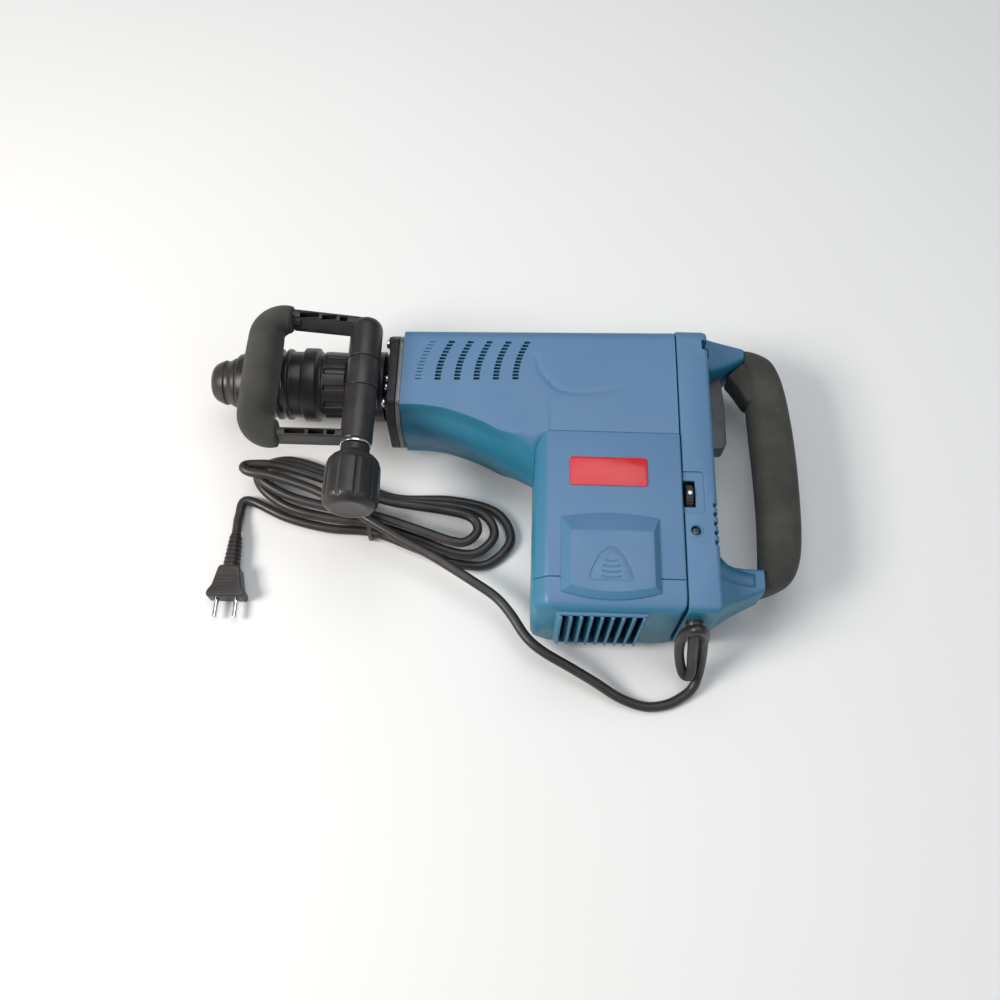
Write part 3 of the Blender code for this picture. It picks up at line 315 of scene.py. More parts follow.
def tube(name, points, radius, sides=14):
    """A round bar swept along points. radius may be a list."""
    line = [Vector(p) for p in points]
    radii = radius if isinstance(radius, list) else [radius] * len(line)
    bm = bmesh.new()
    rings = []
    normal = None
    for i, here in enumerate(line):
        ahead = (line[min(i + 1, len(line) - 1)] - line[max(i - 1, 0)]).normalized()
        if normal is None:
            normal = ahead.orthogonal().normalized()
        normal = (normal - ahead * normal.dot(ahead)).normalized()
        other = ahead.cross(normal)
        ring = []
        for k in range(sides):
            angle = 2 * math.pi * k / sides
            spot = here + (normal * math.cos(angle) + other * math.sin(angle)) * radii[i]
            ring.append(bm.verts.new(spot * MM))
        rings.append(ring)
    for first, second in zip(rings, rings[1:]):
        for k in range(sides):
            after = (k + 1) % sides
            bm.faces.new((first[k], first[after], second[after], second[k]))
    bm.faces.new(rings[0])
    bm.faces.new(rings[-1])
    return to_object(name, bm)


def merge(name, *objects):
    """Puts several meshes in one object, for cutters that don't touch one another."""
    bm = bmesh.new()
    for obj in objects:
        bm.from_mesh(obj.data)
        bpy.data.objects.remove(obj)
    return to_object(name, bm)


# --- Materials ---


class Nodes:
    """A short way to build a node material."""

    def __init__(self, name):
        self.material = bpy.data.materials.new(name)
        self.material.use_nodes = True
        self.tree = self.material.node_tree
        self.shader = self.tree.nodes["Principled BSDF"]
        self.place = self.add("ShaderNodeTexCoord").outputs["Object"]

    def add(self, kind, values=(), **settings):
        node = self.tree.nodes.new(kind)
        for key, value in settings.items():
            setattr(node, key, value)
        for key, value in dict(values).items():
            self.put(node.inputs[key], value)
        return node

    def put(self, socket, value):
        """Sets an input to a value, or links another node's output to it."""
        if hasattr(value, "is_output"):
            self.tree.links.new(value, socket)
        elif socket.type == "RGBA":
            socket.default_value = (*value[:3], 1.0)
        else:
            socket.default_value = value

    def noise(self, scale, detail=3.0, rough=0.55):
        return self.add("ShaderNodeTexNoise", {"Scale": scale, "Detail": detail, "Roughness": rough,
                                               "Vector": self.place}).outputs["Fac"]

    def ramp(self, source, low, high, start=0.0, end=1.0):
        return self.add("ShaderNodeMapRange", {"From Min": low, "From Max": high, "To Min": start,
                                               "To Max": end, "Value": source}).outputs["Result"]

    def mix(self, factor, first, second):
        node = self.add("ShaderNodeMix", {0: factor}, data_type="RGBA")
        for socket in node.inputs:
            if socket.type == "RGBA":
                self.put(socket, first if socket.name == "A" else second)
        return next(out for out in node.outputs if out.type == "RGBA")

    def multiply(self, first, second, operation="MULTIPLY"):
        return self.add("ShaderNodeMath", {0: first, 1: second}, operation=operation).outputs[0]

    def plus(self, first, second):
        return self.multiply(first, second, "ADD")

    def bump(self, height, strength, distance, edge=0.0):
        node = self.add("ShaderNodeBump", {"Strength": strength, "Distance": distance,
                                           "Height": height})
        if edge > 0:
            rounded = self.add("ShaderNodeBevel", {"Radius": edge * MM}, samples=4)
            self.put(node.inputs["Normal"], rounded.outputs["Normal"])
        self.put(self.shader.inputs["Normal"], node.outputs["Normal"])

    def edges(self, low, high):
        """Bright where the surface is convex, for wear along edges."""
        geometry = self.add("ShaderNodeNewGeometry")
        return self.ramp(geometry.outputs["Pointiness"], low, high)

    def finish(self, colour=None, rough=None, **inputs):
        if colour is not None:
            self.put(self.shader.inputs["Base Color"], colour)
        if rough is not None:
            self.put(self.shader.inputs["Roughness"], rough)
        for key, value in inputs.items():
            self.put(self.shader.inputs[key.replace("_", " ")], value)
        return self.material


def srgb(red, green, blue):
    def linear(value):
        value /= 255
        return value / 12.92 if value <= 0.04045 else ((value + 0.055) / 1.055)**2.4
    return (linear(red), linear(green), linear(blue))


def blue_plastic(name, reflection_blue, side, grain=1.0):
    """Moulded plastic. Faces turned up or down are painted a greyer blue than steep ones, a painted
    reflection of the sky and lamps; steep faces show the plastic's own teal.
    """
    made = Nodes(name)
    geometry = made.add("ShaderNodeNewGeometry")
    split = made.add("ShaderNodeSeparateXYZ", {0: geometry.outputs["Normal"]})
    size = made.add("ShaderNodeMath", {0: split.outputs["Z"]}, operation="ABSOLUTE")
    # Painted reflection: faces whose normal points up or down take the greyer blue, steep faces
    # keep the teal
    painted_reflection_share = made.ramp(size.outputs[0], 0.55, 0.97)
    base = made.mix(painted_reflection_share, side, reflection_blue)
    patch = made.ramp(made.noise(9.0, 2.0), 0.35, 0.7, 0.0, 0.16)
    base = made.mix(patch, base, tuple(min(1.0, c * 1.35 + 0.01) for c in reflection_blue))
    scuff = made.ramp(made.noise(75.0, 6.0, 0.7), 0.62, 0.78, 0.0, 0.14)
    base = made.mix(scuff, base, tuple(min(1.0, c * 1.7 + 0.03) for c in reflection_blue))
    worn = made.multiply(made.edges(0.53, 0.66), 0.22)
    base = made.mix(worn, base, tuple(min(1.0, c * 1.8 + 0.04) for c in reflection_blue))
    rough = made.ramp(made.noise(30.0, 4.0), 0.3, 0.7, 0.36, 0.50)
    height = made.plus(made.multiply(made.noise(1500.0, 2.0), 0.6), made.noise(420.0, 2.0))
    made.bump(height, 0.16 * grain, 0.0004, 0.7)
    return made.finish(base, rough, Specular_IOR_Level=0.42)


def surface(name, dark, light, smear, shine, grain, wear=None, **inputs):
    """A base colour with smears of a lighter one, and wear along its edges.

    smear is a noise's scale, detail and roughness, its two limits and an amount; shine a noise's
    scale and detail with two roughness values; grain a noise with a bump's strength, distance and
    edge; wear an edge limit and an amount, then a factor and an offset for the light colour.
    """
    made = Nodes(name)
    *noise, low, high, amount = smear
    base = made.mix(made.ramp(made.noise(*noise), low, high, 0.0, amount), dark, light)
    if wear:
        limit, share, gain, lift = wear
        base = made.mix(made.multiply(made.edges(0.53, limit), share), base,
                        tuple(min(1.0, c * gain + lift) for c in light))
    *noise, low, high = shine
    rough = made.ramp(made.noise(*noise), 0.3, 0.7, low, high)
    *noise, strength, distance, edge = grain
    made.bump(made.noise(*noise), strength, distance, edge)
    return made.finish(base, rough, **inputs)


def black_plastic(name, dark, dusty, rough=(0.36, 0.55)):
    return surface(name, dark, dusty, (22.0, 5.0, 0.65, 0.42, 0.72, 0.35), (45.0, 4.0, *rough),
                   (900.0, 3.0, 0.22, 0.0004, 0.6), (0.66, 0.35, 1.5, 0.01),
                   Specular_IOR_Level=0.45)


def casting(name, dark, light, metallic=0.0, rough=(0.42, 0.62)):
    return surface(name, dark, light, (35.0, 5.0, 0.4, 0.7, 0.6), (60.0, 3.0, *rough),
                   (520.0, 4.0, 0.7, 0.45, 0.0006, 0.6), (0.64, 0.5, 2.0, 0.03),
                   Metallic=metallic)


def rubber(name, dark, dusty, rough=(0.5, 0.66)):
    return surface(name, dark, dusty, (30.0, 4.0, 0.42, 0.7, 0.5), (55.0, 3.0, *rough),
                   (700.0, 3.0, 0.25, 0.0003, 0.4))


def printed_label(name, colour):
    light = tuple(min(1.0, c * 1.25 + 0.02) for c in colour)
    return surface(name, colour, light, (40.0, 3.0, 0.35, 0.7, 0.25), (80.0, 3.0, 0.22, 0.36),
                   (240.0, 3.0, 0.06, 0.0003, 0.3), Coat_Weight=0.12)


def foam(name, colour, dusty):
    """Closed-cell foam: small pores and a soft, dusty surface."""
    made = Nodes(name)
    pores = made.add("ShaderNodeTexVoronoi", {"Scale": 1100.0, "Vector": made.place},
                     feature="F1").outputs["Distance"]
    fine = made.noise(2200.0, 2.0)
    smear = made.ramp(made.noise(28.0, 4.0), 0.4, 0.7, 0.0, 0.5)
    base = made.mix(smear, colour, dusty)
    base = made.mix(made.ramp(pores, 0.0, 0.28, 0.5, 0.0), base, tuple(c * 0.45 for c in colour))
    height = made.plus(made.multiply(pores, 0.8), made.multiply(fine, 0.5))
    made.bump(height, 0.55, 0.0007)
    return made.finish(base, 0.93, Specular_IOR_Level=0.25, Sheen_Weight=0.1,
                       Sheen_Roughness=0.6)


def metal(name, colour, rough=(0.2, 0.36), stretch=(1.0, 14.0, 14.0), strength=0.12):
    """Machined metal with fine tool marks in one direction."""
    made = Nodes(name)
    mapping = made.add("ShaderNodeMapping", {"Scale": stretch, "Vector": made.place})
    marks = made.add("ShaderNodeTexNoise", {"Scale": 160.0, "Detail": 4.0,
                                            "Vector": mapping.outputs["Vector"]})
    stain = made.ramp(made.noise(40.0, 4.0), 0.45, 0.75, 0.0, 0.35)
    base = made.mix(stain, colour, tuple(c * 0.6 for c in colour))
    shine = made.ramp(marks.outputs["Fac"], 0.3, 0.7, *rough)
    made.bump(marks.outputs["Fac"], strength, 0.0003, 0.3)
    return made.finish(base, shine, Metallic=1.0)


def laminated(name, colour):
    """Stacked iron sheets, seen as fine lines across the motor axis."""
    made = Nodes(name)
    wave = made.add("ShaderNodeTexWave", {"Scale": 320.0, "Distortion": 0.4,
                                          "Vector": made.place}, bands_direction="Y")
    base = made.mix(wave.outputs["Fac"], colour, tuple(c * 0.5 for c in colour))
    made.bump(wave.outputs["Fac"], 0.3, 0.0003, 0.3)
    return made.finish(base, 0.45, Metallic=0.9)


def circuit_board(name, colour, copper):
    made = Nodes(name)
    tracks = made.add("ShaderNodeTexBrick", {"Scale": 260.0, "Vector": made.place})
    base = made.mix(made.ramp(tracks.outputs["Fac"], 0.0, 1.0), colour, copper)
    made.bump(tracks.outputs["Fac"], 0.2, 0.0002, 0.3)
    return made.finish(base, 0.35)


# Painted reflection: the greyer blue of faces turned up or down; SIDE_TEAL is the plastic's own
# colour
PAINTED_REFLECTION_BLUE = srgb(80, 116, 152)
SIDE_TEAL = srgb(14, 112, 138)
MATERIALS = {
    "blue_plastic": blue_plastic("blue_plastic", PAINTED_REFLECTION_BLUE, SIDE_TEAL),
    "black_plastic": black_plastic("black_plastic", srgb(38, 36, 36), srgb(72, 67, 64),
                                   (0.27, 0.44)),
    "black_casting": casting("black_casting", srgb(18, 19, 21), srgb(38, 38, 40)),
    "foam_grip": foam("foam_grip", srgb(54, 54, 51), srgb(80, 78, 72)),
    "black_rubber": rubber("black_rubber", srgb(38, 35, 35), srgb(70, 64, 60), (0.32, 0.5)),
    "steel": metal("steel", (0.5, 0.5, 0.51)),
    "bright_steel": metal("bright_steel", (0.78, 0.78, 0.79), (0.1, 0.22), strength=0.05),
    "aluminium": casting("aluminium", (0.42, 0.43, 0.44), (0.6, 0.61, 0.62), 0.9, (0.35, 0.5)),
    "motor_iron": laminated("motor_iron", (0.22, 0.22, 0.23)),
    "copper": metal("copper", (0.65, 0.33, 0.16), (0.25, 0.4)),
    "carbon": rubber("carbon", (0.05, 0.05, 0.054), (0.09, 0.09, 0.095), (0.35, 0.5)),
    "red_label": printed_label("red_label", srgb(190, 14, 28)),
    "circuit_board": circuit_board("circuit_board", (0.03, 0.16, 0.07), (0.3, 0.28, 0.1)),
}
# Painted shade: a near-black matte finish for the sheet behind the vent slots, standing in for the
# shade inside the housing
SHADE_SHEET_BLACK = rubber("shade_sheet_black", (0.004, 0.005, 0.007), (0.009, 0.011, 0.014),
                      (0.8, 0.9))
DARK_SCREW = metal("dark_screw", (0.10, 0.10, 0.11), (0.3, 0.45))
STRIP_METAL = casting("strip_metal", (0.16, 0.165, 0.17), (0.26, 0.265, 0.27), 0.8, (0.4, 0.55))
NODE_BODY = {node: body for body, nodes in frame["record"]["behaviour"]["bodies"].items()
             for node in nodes}
NODE_SLOT = {part["node"]: part["material_slot"] for part in frame["record"]["subparts"]}


def dress(obj, node, slot=None, material=None, degrees=32):
    """Gives a new piece its finish and its body, looked up from the CAD node that it stands for."""
    slot = slot or NODE_SLOT[node]
    shade(obj, degrees)
    obj.data.materials.clear()
    obj.data.materials.append(material or MATERIALS[slot])
    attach(obj, NODE_BODY[node])
    return obj


def stand_for(obj, node, *others, **more):
    dress(obj, node, **more)
    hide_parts(node, *others)
    return obj


# --- Main housing ---

SHELL_STEP = 2.5  # between the housing's sections
SHELL_WALL = 2.6
SEAM_GAP = 0.15  # each half stops this far from the middle
TOP_FRONT = 41.0  # height of the top edge at the front
CORNER = 14.0
SIDE_ROWS, SIDE_CROWN = 40, 0.4  # the flat side bulges a little
FRONT_UNDERSIDE, SWEEP_DROP, SWEEP_POWER = -54.0, 48.0, 1.9
BLEND_START = 192.0  # from here on the side's sharp lower edge fades into the block
KNEE = motor_low.x - 0.3
CRESCENT = smooth_line([(240.0, 9.0), (244.5, -6.0), (254.0, -19.0), (266.0, -26.5),
                        (283.0, -28.5), (304.0, -26.5), (328.0, -22.5)], 5)
CRESCENT_DEPTH, CRESCENT_WIDTH = 1.5, 2.1
FAIRING_END = motor_low.x + 12.5  # the housing's side runs on over the block's front chamfer
# Below the side's edge: share of the drop, and how far in from the side
SCOOPED = ((0.03, 1.0), (0.06, 4.0), (0.09, 8.5), (0.15, 13.5), (0.28, 17.5), (0.46, 21.5),
           (0.68, 27.0), (0.87, 33.5), (0.97, 40.0))
ROUNDED = ((0.08, 0.3), (0.18, 1.3), (0.29, 3.2), (0.42, 6.4), (0.56, 11.5), (0.70, 18.0),
           (0.83, 26.0), (0.92, 34.0), (0.98, 41.0))


def underside(x):
    """Y of the main housing's underside, which sweeps down into the motor block."""
    share = max(0.0, (x - shell_low.x) / (KNEE - shell_low.x))
    return FRONT_UNDERSIDE - SWEEP_DROP * share**SWEEP_POWER


def crescent_dip(x, y):
    """Depth of the curved groove pressed into the housing's side."""
    best = 99.0
    where = 0.0
    for i, point in enumerate(CRESCENT):
        distance = math.hypot(x - point.x, y - point.y)
        if distance < best:
            best = distance
            where = i / (len(CRESCENT) - 1)
    fade = math.sin(math.pi * min(1.0, 0.12 + where * 0.88)) ** 0.6
    return CRESCENT_DEPTH * fade * math.exp(-(best / CRESCENT_WIDTH)**2)


def housing_ring(x, side):
    """Half section of the housing at x, from the top seam round to the bottom seam."""
    share = (x - shell_low.x) / (shell_high.x - shell_low.x)
    top = TOP_FRONT + (shell_high.y - TOP_FRONT) * share
    half = shell_high.z - 0.4
    behind = x > FAIRING_END
    blend = 1.0 - min(1.0, max(0.0, (x - BLEND_START) / (KNEE - 5.0 - BLEND_START)))
    blend = blend * blend * (3.0 - 2.0 * blend)
    seam = motor_high.y + 1.2
    if behind:
        bottom = seam
        crease = seam + 0.8
    else:
        bottom = underside(min(x, KNEE))
        over = max(0.0, (x - KNEE) / (FAIRING_END - KNEE))
        rise = 8.0 + 3.0 * min(1.0, (x - shell_low.x) / 40.0)
        crease = (bottom + rise) * blend + (seam - 0.8) * (1.0 - blend)
        bottom += (seam - 3.0 - bottom) * over**1.4
    line = [(top, SEAM_GAP), (top, 12.0), (top, 24.0)]
    line += arc((top - CORNER, half - CORNER), CORNER, 0, 90, 8)
    low_corner = line[-1][0]
    for i in range(1, SIDE_ROWS + 1):
        y = low_corner + (crease - low_corner) * i / SIDE_ROWS
        crown = SIDE_CROWN * math.sin(math.pi * i / SIDE_ROWS)
        line.append((y, half + crown - crescent_dip(x, y)))
    if behind:
        line += [(bottom + 0.2, half - 0.6), (bottom, half - 1.2)]
        line += [(bottom, z) for z in (45.0, 38.0, 30.0, 24.0, 18.0, 9.0, 4.0, SEAM_GAP)]
    else:
        drop = crease - bottom
        for (a, b), (c, d) in zip(SCOOPED, ROUNDED):
            share, down = a * blend + c * (1.0 - blend), b * blend + d * (1.0 - blend)
            line.append((crease - share * drop, half - down))
        line.append((bottom, SEAM_GAP))
    return [(x, y, z * side) for y, z in line]


VENT_ROWS, VENTS_IN_ROW, VENT_LEAN = 6, 12, 0.3


def vent_slots(side):
    """Six slanted rows of small openings; the first row is a comb of thin slits."""
    slots = []
    for row in range(VENT_ROWS):
        share = row / (VENT_ROWS - 1)
        top = Vector((139.5, 23.6)).lerp(Vector((230.8, 25.4)), share)
        low = Vector((127.7, -18.2)).lerp(Vector((220.3, -14.9)), share)
        for k in range(VENTS_IN_ROW):
            t = k / (VENTS_IN_ROW - 1)
            centre = top.lerp(low, t) - Vector((2.6 * 4 * t * (1 - t), 0.0))
            tall = 0.45 if row == 0 else 1.3
            wide = 3.0 if row == 0 else 2.9
            outline = [(centre.x + wide * u + VENT_LEAN * v, centre.y + tall * v)
                       for u, v in ((-1, -1), (1, -1), (1, 1), (-1, 1))]
            slots.append(prism("slot", fillet(outline, 0.5, 2), *span(side, 30.0, 60.0)))
    return merge("vent_cutter", *slots)


def main_housing(side):
    word = "left" if side > 0 else "right"
    count = round((KNEE - shell_low.x) / SHELL_STEP)
    xs = [shell_low.x + (KNEE - shell_low.x) * i / count for i in range(count + 1)]
    xs += [KNEE + (FAIRING_END - KNEE) * i / 5 for i in range(1, 6)]
    start = FAIRING_END + 0.05
    count = round((shell_high.x - start) / SHELL_STEP)
    rear = [start + (shell_high.x - 0.3 - start) * i / count for i in range(count + 1)]
    shell = skin(f"housing_{word}", [housing_ring(x, side) for x in xs + rear],
                 False, False, False)
    solid = shell.modifiers.new("wall", "SOLIDIFY")
    solid.thickness = SHELL_WALL * MM
    solid.offset = -1.0
    bake(shell)
    cut(shell, vent_slots(side))
    # Painted shade: a near-black ribbed sheet just inside the wall, behind the vent slots, so the
    # openings read dark
    outline = [(121.0, -23.5), (226.0, -20.5), (238.0, 30.0), (134.0, 29.0)]
    low, high = span(side, shell_high.z - 3.4, shell_high.z - 5.0)
    shade_sheet = prism(f"vent_shade_sheet_{word}", fillet(outline, 4.0, 4), low, high, "Z", 0.4, 2)
    ribs = [brick("rib", (x, -24.0, low - 0.8), (x + 1.6, 28.0, high + 0.8), 0.3, 2)
            for x in (152.0, 171.0, 190.0, 209.0)]
    shade_sheet = merge(f"vent_shade_sheet_{word}", shade_sheet, *ribs)
    dress(shade_sheet, f"main_shell_{word}", material=SHADE_SHEET_BLACK)
    return stand_for(shell, f"main_shell_{word}", degrees=28)


for side in (1, -1):
    main_housing(side)


# --- Motor block ---


def block_outline(inset=0.0):
    """Section of the motor block seen along Y, with its wide front chamfers."""
    half = motor_high.z - inset
    front, rear = motor_low.x + inset, motor_high.x - inset
    outline = [(rear, -half), (front + 12.0, -half), (front, -half + 11.0),
               (front, half - 11.0), (front + 12.0, half), (rear, half)]
    return fillet(outline, [2.0, 3.0, 5.0, 5.0, 3.0, 2.0], 4)


def motor_block():
    block = prism("motor_block", block_outline(), motor_low.y, motor_high.y, "Y", 0.9, 3)
    hollow = prism("hollow", block_outline(3.0), motor_low.y - 5, motor_high.y + 5, "Y")
    cut(block, hollow)
    return stand_for(block, "motor_housing")


def end_cover():
    """Lower end of the motor block: rounded foot, tapered intake grille with upright fins."""
    low_y = motor_low.y - 0.7
    rings = []
    for y, inset in ((low_y, 0.0), (low_y - 14.0, 0.0), (low_y - 22.0, 0.6), (low_y - 26.0, 2.6),
                     (end_low.y + 6.0, 6.0)):
        rings.append([(u, y, v) for u, v in block_outline(inset)])
    cover = skin("motor_end", rings)
    inner = prism("hollow", block_outline(8.5), end_low.y + 9.5, low_y + 4.0, "Y")
    cut(cover, inner)
    bays = []
    base_y = end_low.y + 6.0
    for i in range(8):
        x = 266.0 + 9.6 * i
        bays.append(brick("bay", (x, base_y - 4.0, -38.0), (x + 5.0, base_y + 8.0, 38.0)))
    cut(cover, merge("bays", *bays))
    dress(cover, "motor_end_cover")
    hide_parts("motor_end_cover")
    fins = []
    for i in range(9):
        x = 263.2 + 9.6 * i
        lean = (302.0 - x) * 0.07
        outline = [(x - 1.9, base_y + 0.6), (x + 1.9, base_y + 0.6),
                   (x + 1.1 + lean, end_low.y + 0.4), (x - 1.1 + lean, end_low.y + 0.4)]
        fins.append(prism("fin", outline, -41.0, 41.0, "Z", 0.4, 2))
    for z in (-41.5, 41.5):
        outline = [(260.0, base_y + 0.6), (343.5, base_y + 0.6), (339.0, base_y - 3.0),
                   (265.0, base_y - 3.0)]
        fins.append(prism("rail", outline, z - 1.6, z + 1.6, "Z", 0.5, 2))
    grille = merge("intake_fins", *fins)
    dress(grille, "motor_end_cover")
    return cover


motor_block()
end_cover()


# --- Brush covers ---


def bowed(first, last, rise, count=10):
    """Points from first towards last along a bow of the given rise."""
    a, b = Vector(first), Vector(last)
    across = Vector((-(b - a).y, (b - a).x)).normalized()
    return [tuple(a.lerp(b, i / count) + across * rise * 4 * (i / count) * (1 - i / count))
            for i in range(count)]


def cover_outline(left, right, top, top_rise, bottom, bottom_rise):
    """Closed outline with a bowed top and bottom edge, in four runs of equal counts."""
    runs = [bowed((left, top), (right, top), top_rise), bowed((right, top), (right, bottom), 0.0),
            bowed((right, bottom), (left, bottom), bottom_rise),
            bowed((left, bottom), (left, top), 0.0)]
    return [point for run in runs for point in run]


def brush_cover(side):
    word = "left" if side > 0 else "right"
    base, face = cap_low.z, cap_high.z + (1.2 if side > 0 else 0.0)
    levels = [
        (cover_outline(264.4, 351.4, -158.2, 4.6, -227.6, 7.0), base),
        (cover_outline(264.4, 351.4, -158.2, 4.6, -227.6, 7.0), base + 0.8),
        (cover_outline(265.0, 350.8, -158.9, 4.4, -227.2, 6.9), base + 1.3),
        (cover_outline(272.3, 346.4, -171.2, 0.7, -223.4, 5.6), face - 0.5),
        (cover_outline(272.9, 345.9, -171.9, 0.5, -223.0, 5.4), face - 0.12),
        (cover_outline(273.9, 344.9, -173.2, 0.4, -222.2, 5.0), face)]
    rings = [[(x, y, z * side) for x, y in outline] for outline, z in levels]
    cover = skin(f"brush_cover_{word}", rings)
    motif = fillet([(289.0, -219.0), (289.5, -211.0), (298.0, -193.0), (308.5, -185.5),
                    (319.0, -193.0), (327.5, -211.0), (328.0, -219.0)], 6.0, 5)
    cut(cover, prism("motif", motif, *span(side, face - 0.45, face + 3.0)))
    inner = [(308.5 + (x - 308.5) * 0.93, -202.5 + (y + 202.5) * 0.93) for x, y in motif]
    join(cover, prism("pad", inner, *span(side, face - 2.0, face - 0.15), "Z", 0.5, 2))
    grooves = []
    for y, half in ((-199.5, 5.5), (-204.5, 7.5), (-209.5, 8.5), (-214.5, 9.0)):
        line = [(308.5 + half * t, y - 1.3 * (1 - t * t), (face + 0.25) * side)
                for t in (-1, -0.6, -0.2, 0.2, 0.6, 1)]
        grooves.append(tube("groove", line, 0.95, 10))
    cut(cover, merge("grooves", *grooves))
    return stand_for(cover, f"brush_cap_{word}", degrees=24)


for side in (1, -1):
    brush_cover(side)


# --- Label, screw, dial ---


def label():
    outline = rectangle(*label_low.xy, *label_high.xy)
    plate = prism("label_plate", fillet(outline, 3.2, 5), label_low.z - 0.2, label_high.z, "Z",
                  0.25, 2)
    return stand_for(plate, "badge")


label()


# --- Rear cover and handle arms ---

LOOP_X = 405.0
SEAM = 0.2  # the two halves of the rear cover stop this far from the middle
UPPER_ARM = ((398.0, 46.5, 2.0, 38.0), (406.0, 46.6, 8.0, 35.0), (414.0, 46.8, 11.0, 31.0),
             (424.0, 46.8, 16.0, 27.0), (434.0, 46.6, 22.5, 23.5), (443.0, 46.3, 28.5, 20.5),
             (447.2, 46.0, 31.5, 19.2))
LOWER_ARM = ((398.0, -180.0, -238.0, 44.0), (405.5, -183.5, -235.5, 41.0),
             (410.0, -187.0, -233.0, 37.0), (415.0, -190.0, -229.8, 33.0),
             (422.0, -191.0, -225.5, 28.5), (432.0, -190.8, -220.5, 25.0),
             (442.0, -190.4, -215.5, 23.0), (449.2, -190.0, -211.8, 22.0))


def rounded_ring(x, high, low, wide, corner, count=4):
    outline = fillet([(high, wide), (low, wide), (low, -wide), (high, -wide)], corner, count)
    return [(x, y, z) for y, z in outline]


def cover_body(side):
    """The strip behind the housing, with the same rounded top and a rounded rear edge."""
    half, top = rear_high.z, rear_high.y
    low_y = -241.5
    corner = 13.0
    rings = []
    front = rear_low.x + 0.3
    for x, inset in ((front, 0.8), (front + 0.8, 0.0), (LOOP_X - 4.0, 0.0), (LOOP_X - 1.6, 0.8),
                     (LOOP_X - 0.5, 2.0), (LOOP_X, 4.0)):
        line = [(top - inset, -0.0), (top - inset, 20.0)]
        line += arc((top - corner, half - corner), corner - inset, 0, 90, 8)
        line += [(0.0, half - inset), (-60.0, half - inset), (-120.0, half - inset),
                 (-180.0, half - inset)]
        line += arc((low_y + 7.0, half - 7.0), max(1.0, 7.0 - inset), 90, 180, 5)
        line += [(low_y + inset, 20.0), (low_y + inset, 0.0)]
        rings.append([(x, y, z * side) for y, z in line])
    return skin("rear_cover", rings)


def rear_cover(side):
    word = "left" if side > 0 else "right"
    cover = cover_body(side)
    upper = skin("upper_arm", [rounded_ring(*place, 7.0) for place in UPPER_ARM])
    lower = skin("lower_arm", [rounded_ring(*place, 6.5) for place in LOWER_ARM])
    join(cover, upper, lower)
    half_cut = brick("half_cut", (300.0, -300.0, -90.0 if side > 0 else -SEAM),
                     (520.0, 90.0, SEAM if side > 0 else 90.0))
    slot = brick("trigger_slot", (392.0, -70.0, -10.8), (430.0, 20.3, 10.8), 2.0)
    hollow = brick("hollow", (378.0, -236.0, -46.0), (400.0, 30.0, 46.0), 3.0)
    cut(cover, half_cut, hollow)
    cut(cover, slot)
    notches = [brick("notch", (400.5, y - 2.2, side * 40.0 - 9), (408.0, y + 2.2, side * 40.0 + 13),
                     0.8, 2)
               for y in (-142.0, -151.0, -160.0, -169.0, -178.0)]
    cut(cover, merge("notches", *notches))
    cut(cover, brick("pivot_notch", (399.0, 22.0, 30.0 * side if side > 0 else -60.0),
                     (409.0, 33.0, 60.0 if side > 0 else -30.0), 1.0, 2))
    channel = [(404.0, -196.5, 42.0 * side), (414.0, -199.5, 37.5 * side),
               (428.0, -202.0, 29.0 * side), (441.0, -203.0, 26.0 * side)]
    cut(cover, tube("channel", smooth_line(channel, 4), [10.0 - 0.26 * i for i in range(13)], 20))
    if side > 0:
        centre = (dial_low + dial_high) / 2
        recess = fillet([(374.0, -109.0), (393.5, -109.0), (393.5, -150.5), (374.0, -150.5)],
                        3.0, 4)
        scoop = prism("recess", recess, rear_high.z - 1.5, rear_high.z + 10)
        cut(cover, scoop)
        opening = prism("opening", fillet([(374.9, centre.y - 13.2), (385.6, centre.y - 13.2),
                                           (385.6, centre.y + 13.2), (374.9, centre.y + 13.2)],
                                          1.0, 3), 30.0, 60.0)
        cut(cover, opening)
        middle = (screw_low + screw_high) / 2
        bore = rod(40.0, 60.0, 4.6, "Z",
                     (middle.x, middle.y, 0.0), 32)
        cut(cover, bore)
        rim = lathe("rim", [(rear_high.z - 1.4, 4.7), (rear_high.z + 0.35, 4.7),
                            (rear_high.z + 0.6, 5.2), (rear_high.z + 0.35, 6.2),
                            (rear_high.z - 1.4, 7.0)], "Z", (middle.x, middle.y, 0.0), 48)
        dress(rim, "handle_shell_left")
        rim.name = "screw_rim"
        head = lathe("screw_head", fillet([(screw_low.z, 0.0), (screw_low.z, 1.8),
                                           (screw_high.z - 3.0, 1.8), (screw_high.z - 3.0, 3.6),
                                           (screw_high.z, 3.3), (screw_high.z + 0.2, 0.0)],
                                          0.5, 3, False), "Z", (middle.x, middle.y, 0.0), 36)
        for wide, tall in ((2.4, 0.45), (0.45, 2.4)):
            cut(head, brick("cross", (middle.x - wide, middle.y - tall, screw_high.z - 1.3),
                            (middle.x + wide, middle.y + tall, screw_high.z + 2.0)))
        stand_for(head, "handle_screw", material=DARK_SCREW)
    cover.name = f"rear_cover_{word}"
    return stand_for(cover, f"handle_shell_{word}", degrees=30)


for side in (1, -1):
    rear_cover(side)


